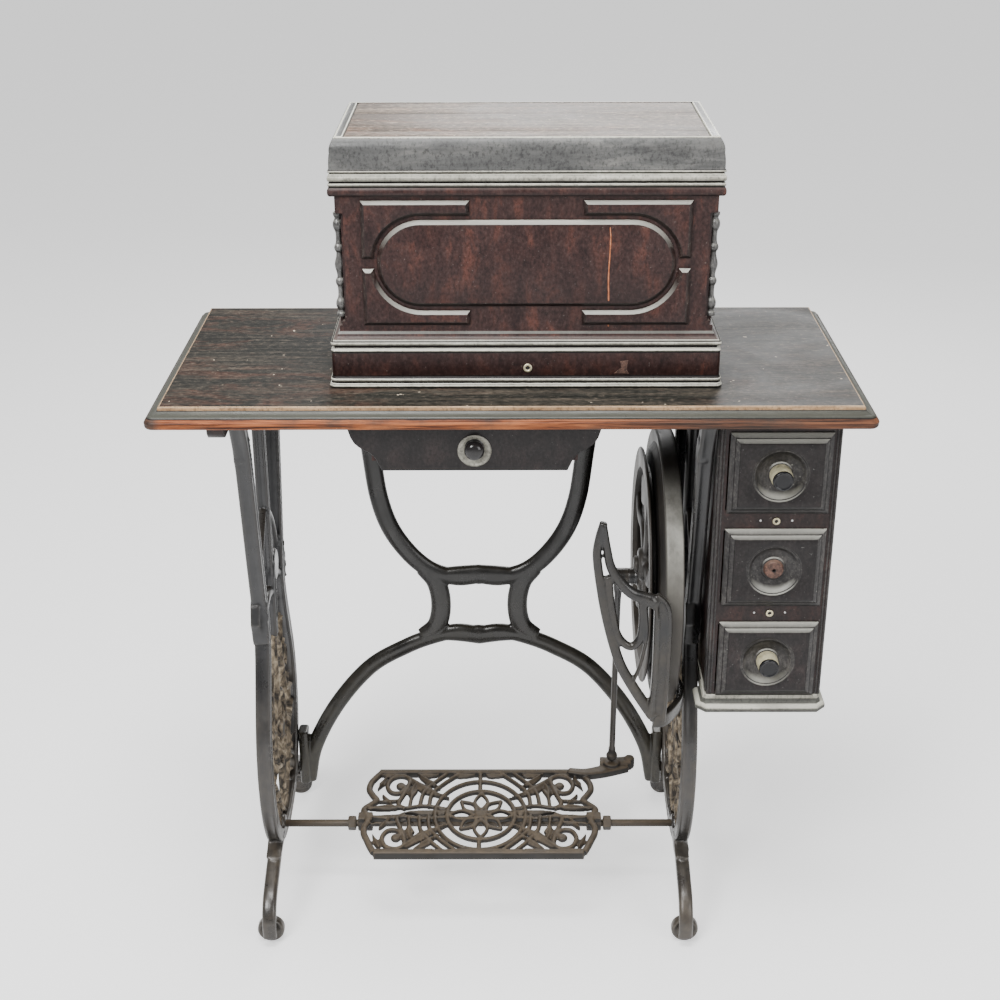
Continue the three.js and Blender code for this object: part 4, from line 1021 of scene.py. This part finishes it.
def make_side_knob(number, spot, base):
    """A pale knob with a dark cap; base is how far out the dish's middle stands."""
    body, node = f"side_drawer_{number}", f"side_drawer_knob_{number}"
    reach = -span(node)[0].y - base
    stem = rounded([(0.05, 0), (11.5, 0), (13.2, 1), (13.4, 3), (13.0, reach - 9), (12.2, reach - 5.6),
                    (12.0, reach - 5)], 3, 0.3) + [(0.05, reach - 5)]
    dress(on_front(f"{body}_knob", stem, spot, base, "pale_knob", 40), body, "brass", node)
    cap = rounded([(0.05, reach - 5.2), (11.8, reach - 5.2), (12.4, reach - 4), (12.4, reach - 2.4),
                   (11.6, reach - 0.8), (10.4, reach - 0.2), (9.6, reach - 0.6), (8.8, reach - 1.0),
                   (0.05, reach - 0.9)], 3, 0.3)
    dress(on_front(f"{body}_knob_cap", cap, spot, base, "dark_cap", 48), body, "brass")


def make_side_case():
    repaint("case", "side_case")
    low, high = span("side_case")
    face = -low.y
    foot, top = 373, 745                              # the mouldings stand on the base and end at the table
    base_low, base_high = span("side_case_base")
    profile = run(
        (1, base_low.z), (0, base_low.z + 1, 0, 1), (0, base_low.z + 5, 0, 1), (1, base_low.z + 7, 0.3, 2),
        (6, 360.5, 0.6, 2), (7, 361.5), (8, 367, -0.8, 1), (9.5, base_high.z, 0.3, 2))
    centre = ((base_low.x + base_high.x) / 2, (base_low.y + base_high.y) / 2)
    size = (base_high.x - base_low.x, base_high.y - base_low.y)
    base = moulded("side_case_foot", centre, size, profile, ["plinth", "plinth", "bead"], 12, 1)
    carve(base, ((220, -125, 340), (244.2, 230, 380)))
    dress(base, "stand", "moulding_wood", "side_case_base")
    for number in (1, 2):
        node = f"rail_keyhole_ring_{number}"
        spot = middle(node)
        make_keyhole(f"rail_{number}", node, face, 4.8)
        for word, side in SIDES:
            head = rounded([(0.02, -0.4), (1.5, -0.4), (1.5, 0.2), (0.9, 0.7), (0.02, 0.8)], 2)
            pin = on_front(f"rail_pin_{number}_{word}", head, (spot.x + side * 19, spot.z + 0.5), face,
                           "steel", 12)
            dress(pin, "stand", "brass")
    for word, side in SIDES:
        edge = low.x if side < 0 else high.x
        for number, (shift, width) in enumerate(((1.6, 2.6), (5.4, 2.0)), 1):
            x = edge - side * shift
            reed = boxy(f"case_reed_{word}_{number}", (x - width / 2, -face - 1.2, foot),
                        (x + width / 2, -face + 1, top), "mould")
            dress(reed, "stand", "dark_wood")
    for number, y in enumerate((low.y + 6, low.y + 14, high.y - 40, high.y - 14), 1):
        batten = boxy(f"case_side_batten_{number}", (low.x - 1.6, y - 3, foot + 1), (low.x + 1, y + 3, top),
                      "mould")
        dress(batten, "stand", "dark_wood")


# ---------------------------------------------------------------- irons and casters
IRON_Y = -5
FOOT = 180                                            # from the iron's middle to the face of its caster lug
ARM = [(150, 738), (128, 690), (113, 620), (98, 540), (84, 470), (76, 428), (84, 385), (104, 335),
       (124, 280), (130, 225), (122, 170), (98, 120), (60, 92), (0, 82)]
LEG = [(56, 96), (100, 88), (140, 74), (170, 60), (186, 38), (186, 13)]
OVAL = (IRON_Y, 225)                                  # middle of the lace's oval ring


def over(side, *points):
    """Points given for the rear half of an iron, on the half that side says."""
    return [(IRON_Y + side * u, z) for u, z in points]


def make_iron_frame(node, x, thick):
    iron = Casting("X", x)
    iron.bar([(-162, 742), (0, 742), (152, 742)], 8, thick, partial(round_section, power=6), per=4)
    for _, side in SIDES:
        iron.bar(over(side, *ARM), 19, thick - 0.4, channel_section, per=6)
        iron.bar(over(side, *LEG), 15, thick - 1, partial(round_section, power=3.2), taper=(1.15, 0.8), per=6)
        iron.bar(over(side, (74, 428), (40, 446), (0, 440)), 14, thick - 6, per=6)
        iron.bar(over(side, (78, 470), (50, 520), (8, 560)), 8, thick - 10, taper=(1.2, 0.7), per=6)
        iron.leaf(*over(side, (88, 470), (94, 408)), 26, thick + 1.0, 0, 2)
        iron.leaf(*over(side, (132, 712), (118, 655)), 24, thick + 0.6, 0, 2)
        iron.leaf(*over(side, (66, 96), (120, 92)), 22, thick, 0, 2)
    iron.bar([(IRON_Y, 744), (IRON_Y, 600), (IRON_Y, 372)], 15, thick - 4, channel_section, per=4)
    iron.leaf((IRON_Y, 480), (IRON_Y, 395), 26, thick, 0, 2)
    iron.disc((WHEEL_Y, WHEEL_Z), 23, thick - 0.6)
    iron.disc((PIVOT_Y, PIVOT_Z), 13, thick + 1.2)
    dress(iron.fuse(f"{node}_frame", "iron", 1.7, 2), "stand", "iron", node)


def make_iron_lace(node, x, thin):
    """Scrolls and leaves round an oval ring with a flower in it."""
    lace = Casting("X", x)
    for _, side in SIDES:
        lace.bar(over(side, (118, 225), (70, 250), (40, 330), (4, 372)), 8, thin)
        lace.bar(over(side, (118, 200), (76, 180), (44, 130), (6, 90)), 8, thin)
        lace.scroll((IRON_Y + side * 76, 300), 24, 1.3, math.pi / 2, 6, thin, side)
        lace.scroll((IRON_Y + side * 84, 145), 20, 1.3, -math.pi / 2, 6, thin, -side)
        lace.scroll((IRON_Y + side * 92, 226), 15, 1.2, 0, 5, thin, side)
        lace.leaf(*over(side, (38, 330), (66, 372)), 18, thin + 2)
        lace.leaf(*over(side, (50, 250), (96, 262)), 18, thin + 2)
        lace.leaf(*over(side, (50, 200), (96, 190)), 18, thin + 2)
        lace.leaf(*over(side, (44, 128), (80, 104)), 16, thin + 2)
    lace.bar([(IRON_Y, 378), OVAL, (IRON_Y, 86)], 8, thin, per=4)
    lace.bar(arc(OVAL, 46, 56, 0, 337.5, 15), 8, thin, closed=True, per=4)
    lace.disc(OVAL, 15, thin + 4)
    for inner, outer in zip(arc(OVAL, 12, 12, 0, 315, 7), arc(OVAL, 44, 50, 0, 315, 7)):
        lace.leaf(inner, outer, 15, thin + 1, 0, 1)
    dress(lace.fuse(f"{node}_lace", "lace", 1.7, 1), "stand", "iron")


def make_iron(word):
    node = f"{word}_iron"
    low, high = span(node)
    x, thick = (low.x + high.x) / 2, high.x - low.x
    make_iron_frame(node, x, thick)
    make_iron_lace(node, x, thick - 9)


def make_casters():
    for node in [name for name in NODES if name.startswith("caster_")]:
        spot = middle(node)
        sign = -1 if "front" in node else 1
        foot = IRON_Y + sign * FOOT
        near, far = foot - sign * 0.8, foot - sign * 14.8
        dip, edge = sign * 1.5, sign * 2.5
        profile = rounded([(0.05, far), (6, far), (6, far + dip), (12, far + dip), (14, far), (16, far),
                           (18, far + edge), (18, near - edge), (16, near), (14, near), (12, near - dip),
                           (5, near - dip), (5, near), (4, near), (4, foot + sign * 11),
                           (0.05, foot + sign * 11)], 2, 0.3)
        wheel = turned(f"{node}_wheel", profile, "Y", (spot.x, 0, spot.z), "iron")
        dress(wheel, node, "iron", node)


# ---------------------------------------------------------------- rear brace
BRACE_X, BRACE_Y = -44, 110
BRACE_THICK = 16
BRACE_STRANDS = (
    ([(-200, 745), (-197, 660), (-189, 587), (-181, 524), (-166, 476), (-140, 436), (-110, 410), (-75, 400),
      (BRACE_X, 403)], 26.5),
    ([(-120, 415), (-104, 392), (-98, 357), (-104, 324), (-122, 305)], 29),
    ([(BRACE_X, 309), (-75, 313), (-110, 305), (-150, 288), (-202, 255), (-252, 193), (-288, 122),
      (-301, 62)], 24),
)


def make_brace():
    low, high = span("rear_brace")
    brace = Casting("Y", -BRACE_Y)
    arched = partial(round_section, count=20)
    for points, width in BRACE_STRANDS:
        for path in (points, [(2 * BRACE_X - a, b) for a, b in points]):
            brace.bar(path, width, BRACE_THICK, arched)
    for z in (404, 308):
        for _, side in SIDES:
            brace.bar([(BRACE_X, z), (BRACE_X + side * 30, z + 1), (BRACE_X + side * 64, z)], 31, BRACE_THICK,
                      arched, taper=(1.0, 0.55))
    for near, far in ((low.x, -297), (high.x, 209)):
        x = (near + far) / 2
        brace.bar([(x, 62), (x, 106), (x, 150)], abs(far - near), 26, boxed, per=4)
    dress(brace.fuse("rear_brace_casting", "brace", 1.6, 3), "stand", "iron", "rear_brace")


# ---------------------------------------------------------------- flywheel and crank
def make_wheel_ring(name, profile, look, steps, node=None):
    """A turned ring of the flywheel; its profile is (radius, X)."""
    ring = turned(name, profile, "X", (0, WHEEL_Y, WHEEL_Z), look, steps, wrap=True)
    dress(ring, "flywheel", "wheel_iron", *([node] if node else []))


def make_flywheel():
    make_wheel_ring("flywheel_rim", rounded([
        (160, 192), (168, 190.5), (176, 190), (180, 189.2), (182.6, 191.5), (183, 195), (183, 207),
        (182.6, 210.5), (180, 212.8), (172, 212.4), (167, 210), (163, 200), (160, 192)], 2, 0.3),
        "wheel", 120, "flywheel")
    make_wheel_ring("flywheel_belt_ring", rounded([
        (130, 173), (150, 172), (156, 172.2), (157, 174), (155, 176), (135, 177.2), (134.2, 180),
        (135, 182.8), (155, 184.4), (158, 187), (164, 191), (164, 195), (150, 190), (131, 187), (129, 180),
        (130, 173)], 2, 0.25), "spoke", 120)
    make_spokes()
    make_wheel_ring("flywheel_hub", rounded([
        (8.6, 172), (17, 171.5), (20, 174), (21, 186), (20, 204), (17, 211), (8.6, 211.6), (8.6, 172)], 2),
        "spoke", 48)
    low, high = span("crank_pin")
    pin = turned("crank_pin_turned", rounded([
        (0.05, low.x), (10.6, low.x), (11, low.x + 0.8), (11, high.x - 2), (13, high.x - 1), (13, high.x),
        (0.05, high.x)], 2), "X", (0, CRANK_Y, CRANK_Z), "iron", 40)
    dress(pin, "flywheel", "iron", "crank_pin")
    axle = turned("wheel_axle_turned", rounded([
        (0.05, 164), (8, 164), (11, 166), (11, 171), (8, 171.2), (8, 213), (13, 214.5), (15, 216),
        (15, 222.6), (0.05, 222.6)], 3), "X", (0, WHEEL_Y, WHEEL_Z), "spoke", 40)
    dress(axle, "stand", "steel", "wheel_axle")


def make_spokes():
    """Five S-shaped spokes, the hub's and the crank's bosses, and the weight opposite the crank."""
    spokes = Casting("X", 180)
    count = 5
    for i in range(count):
        turn = 2 * math.pi * i / count + 0.35
        points = []
        for out, aside in ((12, 0), (34, 10), (58, 13), (84, 0), (108, -8), (133, 3)):
            points.append((WHEEL_Y + out * math.cos(turn) - aside * math.sin(turn),
                           WHEEL_Z + out * math.sin(turn) + aside * math.cos(turn)))
        spokes.bar(points, 18, 9, taper=(1.1, 0.75))
    spokes.disc((WHEEL_Y, WHEEL_Z), 22, 18, -1, 32)
    spokes.disc((CRANK_Y, CRANK_Z), 19, 16, 0, 32)
    weight = [(WHEEL_Y + y, WHEEL_Z + z) for y, z in ((40, 92), (0, 102), (-40, 92))]
    spokes.bar(weight, 42, 11, boxed)
    dress(spokes.fuse("flywheel_spokes", "spoke", 1.7, 2), "flywheel", "wheel_iron")


# ---------------------------------------------------------------- treadle and pitman
TREADLE_X, TREADLE_Y = -43, -50
PLATE_Z = 115


def at(points, side=1, flip=1):
    """Points measured from the middle of the treadle; side and flip mirror them."""
    return [(TREADLE_X + side * u, TREADLE_Y + flip * v) for u, v in points]


def make_treadle():
    """Lattice of rings and spokes between scalloped ends, with scrolls and leaves in the corners."""
    plate = Casting("Z", PLATE_Z)
    plate.bar(at([(-141, -95), (0, -95), (141, -95)]), 10, 12.5, boxed, lift=-1.2, per=3)
    plate.bar(at([(-145, 95), (0, 95), (145, 95)]), 9, 11.5, boxed, lift=-0.6, per=3)
    plate.bar(at([(-150, -12), (0, -12), (150, -12)]), 10, 5.5, lift=-3.6, per=3)
    plate.bar(at(arc((2, -9), 47, 56.5, 0, 345, 23)), 7, 8.5, closed=True, per=3)
    plate.bar(at(arc((1, -8), 63, 80, 0, 345, 23)), 6.5, 8, closed=True, per=3)
    for _, side in SIDES:
        add_treadle_end(plate, side)
        for flip in (-1, 1):
            add_treadle_corner(plate, side, flip)
    plate.bar(at([(0, 47), (0, 70), (0, 92)]), 6.5, 8, per=3)
    plate.bar(at([(0, -64), (0, -80), (0, -92)]), 6.5, 8, per=3)
    for u in (-125, -75, -23, 23, 75, 125):
        plate.leaf(*at([(u - 15, 88), (u + 15, 88)]), 12, 7, 0, 1)
        plate.leaf(*at([(u - 13, -89), (u + 13, -89)]), 9, 7, 0, 1)
    add_flower(plate)
    add_bosses(plate)
    dress(plate.fuse("treadle_lattice", "rust", 1.2, 2), "treadle", "rusty_iron", "treadle_plate")


def add_treadle_end(plate, side):
    lobes = [(141, -94), (147, -80), (152, -66), (157, -52), (158, -38), (154, -24), (157, -10), (161, 4),
             (152, 16), (145, 26), (151, 38), (157, 52), (156, 68), (150, 82), (143, 94)]
    plate.bar(at(lobes, side), 9.5, 9.5, per=5)
    plate.leaf(*at([(36, -2), (106, -2)], side), 13, 8, 0, 3)
    plate.bar(at([(48, 6), (78, 13), (104, 8), (128, 12), (154, 6)], side), 5.5, 7)
    plate.bar(at([(48, -14), (78, -17), (104, -12), (128, -16), (154, -12)], side), 5.5, 7)
    for v in (26, 8, -10, -26):
        plate.leaf(*at([(112, v), (152, v - 3)], side), 7, 7, 0, 1)


def add_treadle_corner(plate, side, flip):
    plate.bar(at([(84, 12), (80, 44), (68, 66), (48, 92)], side, flip), 6.2, 8, per=6)
    plate.bar(at([(71, 10), (68, 40), (54, 64), (30, 92)], side, flip), 6.2, 8, per=6)
    plate.bar(at([(98, 12), (96, 34), (90, 50)], side, flip), 5.5, 7.5, per=6)
    plate.bar(at([(104, 6), (114, 18), (105, 50), (101, 76), (112, 86), (126, 80), (132, 62), (126, 46),
                  (114, 44), (107, 54), (112, 62)], side, flip), 7, 8, per=6)
    plate.disc(at([(113, 61)], side, flip)[0], 7, 8.5, steps=14, dome=0.3)
    plate.leaf(*at([(104, 84), (42, 30)], side, flip), 19, 9, side * flip * 5, 2)
    plate.leaf(*at([(88, 88), (56, 54)], side, flip), 13, 8.5, 0, 2)
    plate.leaf(*at([(92, 66), (96, 26)], side, flip), 14, 8.5, side * flip * 3, 2)
    plate.leaf(*at([(134, 84), (146, 52)], side, flip), 10, 7.5, 0, 2)
    plate.leaf(*at([(138, 40), (120, 10)], side, flip), 9, 7.5, 0, 2)


def add_flower(plate):
    """A plain eight-petalled flower in the middle of the treadle."""
    centre = (TREADLE_X + 2, TREADLE_Y - 9)
    for petal in range(8):
        angle = math.pi * petal / 4
        reach = 46 if petal % 2 == 0 else 40
        for _, side in SIDES:
            plate.bar([(centre[0] + reach * share * math.cos(angle + turn),
                        centre[1] + 1.15 * reach * share * math.sin(angle + turn))
                       for share, turn in ((0.2, 0), (0.62, side * 0.32), (1, 0))], 5, 7, per=6)
    plate.disc(centre, 10, 9, dome=0.3)


def add_bosses(plate):
    """The two bosses on the rod, and the arm that carries the pitman's socket."""
    for _, side in SIDES:
        boss = [(TREADLE_X + side * u, PIVOT_Y) for u in (148, 158, 168)]
        plate.bar(boss, 23, 21, lift=PIVOT_Z - PLATE_Z, per=3)
        plate.bar(boss, 17, 12, boxed, lift=-2, per=3)
    plate.bar([(84, 42), (106, 38), (126, 42), (146, 50), (166, 60)], 17, 12, boxed, taper=(0.75, 1.5),
              lift=2.8, per=6)
    plate.bar([(130, 62), (152, 61), (174, 64)], 20, 15, boxed, lift=4.6, per=4)
    plate.disc((PITMAN_X, PITMAN_Y), 11.8, 9, lift=span("treadle_plate")[1].z - 5 - PLATE_Z)
    plate.disc((173, 66), 7.5, 18, lift=5)


def make_treadle_rod():
    on_rod = partial(turned, axis="X", centre=(0, PIVOT_Y, PIVOT_Z), look="rust")
    for word, _ in SIDES:
        node = f"treadle_nut_{word}"
        low, high = span(node)
        profile = rounded([(5.4, low.x), (9.2, low.x), (10, low.x + 1.5), (10, high.x - 1.5), (9.2, high.x),
                           (5.4, high.x), (5.4, low.x)], 1, 0.2)
        dress(on_rod(f"{node}_hex", profile, steps=6, wrap=True), "stand", "rusty_iron", node)
    low, high = span("treadle_rod")
    profile = [(0.05, low.x), (4.6, low.x), (5, low.x + 1), (5, high.x - 1), (4.6, high.x), (0.05, high.x)]
    dress(on_rod("treadle_rod_turned", profile, steps=32), "stand", "rusty_iron", "treadle_rod")


def make_pitman():
    foot = turned("pitman_ball", rounded([
        (0.05, -8), (4, -6.9), (7, -3.9), (8, 0), (8, 2.6), (6.4, 5), (5, 8.5), (5, 16), (0.05, 16)], 3),
        "Z", (PITMAN_X, PITMAN_Y, PITMAN_Z), "rust", 32)
    dress(foot, "pitman", "iron")
    length = math.hypot(CRANK_Y - PITMAN_Y, CRANK_Z - PITMAN_Z)
    rod = turned("pitman_rod", rounded([
        (0.05, 6), (4.4, 6), (4.2, 60), (4.2, length - 60), (4.6, length - 30), (6.4, length - 20),
        (6.4, length - 8), (0.05, length - 8)], 3), "Z", (0, 0, 0), "iron", 24)
    lean = math.atan2(PITMAN_Y - CRANK_Y, CRANK_Z - PITMAN_Z)
    foot_spot = Vector((PITMAN_X, PITMAN_Y, PITMAN_Z)) * MM
    rod.data.transform(Matrix.Translation(foot_spot) @ Matrix.Rotation(lean, 4, "X"))
    dress(rod, "pitman", "iron", "pitman")
    low, high = span("pitman")
    eye = turned("pitman_bearing", rounded([
        (0.05, low.x), (9.4, low.x), (11, low.x + 1), (11, high.x), (11, 159), (0.05, 159)], 2, 0.3),
        "X", (0, CRANK_Y, CRANK_Z), "iron", 40)
    dress(eye, "pitman", "iron")


# ---------------------------------------------------------------- dress guard
def make_guard():
    guard = Casting("Y", 183)

    def ribbed(width, thick):
        return round_section(width, thick + 2)

    guard.bar([(110, 621), (105, 600), (103, 575), (110, 525), (118, 486), (127, 452), (136, 425), (149, 400),
               (162, 378), (178, 353)], 12.5, 9, ribbed, taper=(0.8, 1.2))
    guard.bar([(110, 617), (115, 585), (120, 562), (131, 543), (146, 527), (163, 520), (180, 514)], 15.5, 10,
              ribbed, taper=(0.55, 1.15))
    guard.bar([(172, 519), (184, 506), (187, 480), (187, 432), (186, 390), (184, 346)], 20, 9,
              partial(channel_section, groove=2.2))
    guard.bar([(170, 520), (176, 512), (177, 480), (177, 432), (176, 390), (173, 352)], 6, 12, ribbed)
    guard.bar([(117, 550), (121, 512), (130, 470), (146, 453), (158, 464), (161, 489), (159, 517)], 10.5, 8,
              ribbed)
    guard.bar([(163, 512), (166, 470), (160, 430), (152, 404)], 6, 7, ribbed, taper=(0.9, 0.7))
    strap = Casting("Z", 347)
    strap.bar([(178, -183), (194, -178), (212, -148), (218, -126), (218, -96)], 9, 20, boxed)
    dress(guard.fuse("dress_guard_casting", "guard", 1.3, 2), "stand", "iron", "dress_guard")
    dress(strap.fuse("dress_guard_strap", "guard", 1.5, 1), "stand", "iron")


# ---------------------------------------------------------------- sewing head under the cover
def make_head():
    """The head keeps its CAD meshes and gets its looks."""
    repaint("japan", "head_bed", "head_arm")
    repaint("steel", "head_face_plate", "handwheel", "needle_bar", "presser_bar", "take_up_lever",
            "tension_dial", "bobbin_winder", "slide_plate", "spool_pin")


# ---------------------------------------------------------------- camera, light and floor (in metres)
EYE = (-0.00836, -1.91714, 1.43185)
PITCH, YAW, ROLL = math.radians(24.25), math.radians(-0.16), math.radians(-0.15)
LENS = 58.04


def make_camera():
    camera_data = bpy.data.cameras.new("camera")
    camera_data.sensor_width = 36
    camera_data.lens = LENS
    camera_data.clip_start = 0.05
    camera = linked("camera", camera_data)
    ahead = Vector((math.sin(YAW) * math.cos(PITCH), math.cos(YAW) * math.cos(PITCH), -math.sin(PITCH)))
    level = Vector((math.cos(YAW), -math.sin(YAW), 0))
    upright = level.cross(ahead)
    right = level * math.cos(ROLL) + upright * math.sin(ROLL)
    up = upright * math.cos(ROLL) - level * math.sin(ROLL)
    turn = Matrix((right, up, -ahead)).transposed().to_4x4()
    camera.matrix_world = Matrix.Translation(EYE) @ turn
    bpy.context.scene.camera = camera


def make_lights():
    world = bpy.data.worlds.new("studio")
    world.use_nodes = True
    background = world.node_tree.nodes["Background"]
    background.inputs["Color"].default_value = (1, 1, 1, 1)
    background.inputs["Strength"].default_value = 0.42
    bpy.context.scene.world = world
    for name, where, aim, power, size in (
            ("key", (-1.4, -2.2, 2.6), (0, 0, 0.6), 120, 1.2),
            ("fill", (1.8, -2.0, 1.5), (0, 0, 0.5), 38, 1.4),
            ("top", (-0.2, -0.5, 2.9), (0, 0, 0.7), 100, 1.2),
            ("back", (0.4, 2.2, 1.9), (0, 0, 0.6), 40, 1.4)):
        light_data = bpy.data.lights.new(name, "AREA")
        light_data.energy = power
        light_data.size = size
        light = linked(name, light_data)
        light.location = where
        light.rotation_euler = (Vector(aim) - Vector(where)).to_track_quat("-Z", "Y").to_euler()


def make_floor():
    """A wide floor that glows a little, so that it stays pale to its far edge."""
    mesh = bpy.data.meshes.new("floor")
    reach = 60
    mesh.from_pydata([(-reach, -reach, 0), (reach, -reach, 0), (reach, reach, 0), (-reach, reach, 0)], [],
                     [(0, 1, 2, 3)])
    look = bpy.data.materials.new("pale_floor")
    look.use_nodes = True
    shader = look.node_tree.nodes["Principled BSDF"]
    shader.inputs["Base Color"].default_value = (0.62, 0.62, 0.62, 1)
    shader.inputs["Roughness"].default_value = 0.9
    shader.inputs["Emission Color"].default_value = (1, 1, 1, 1)
    shader.inputs["Emission Strength"].default_value = 0.85
    mesh.materials.append(look)
    linked("floor", mesh)


def build():
    make_camera()
    make_lights()
    make_floor()
    make_cover_base()
    make_cover_body()
    make_scratch()
    make_cover_lid()
    make_frets()
    make_spindles()
    make_table()
    make_centre_drawer()
    for number in (1, 2, 3):
        make_side_drawer(number)
    make_side_case()
    for word, _ in SIDES:
        make_iron(word)
    make_casters()
    make_brace()
    make_flywheel()
    make_treadle()
    make_treadle_rod()
    make_pitman()
    make_guard()
    make_head()


build()
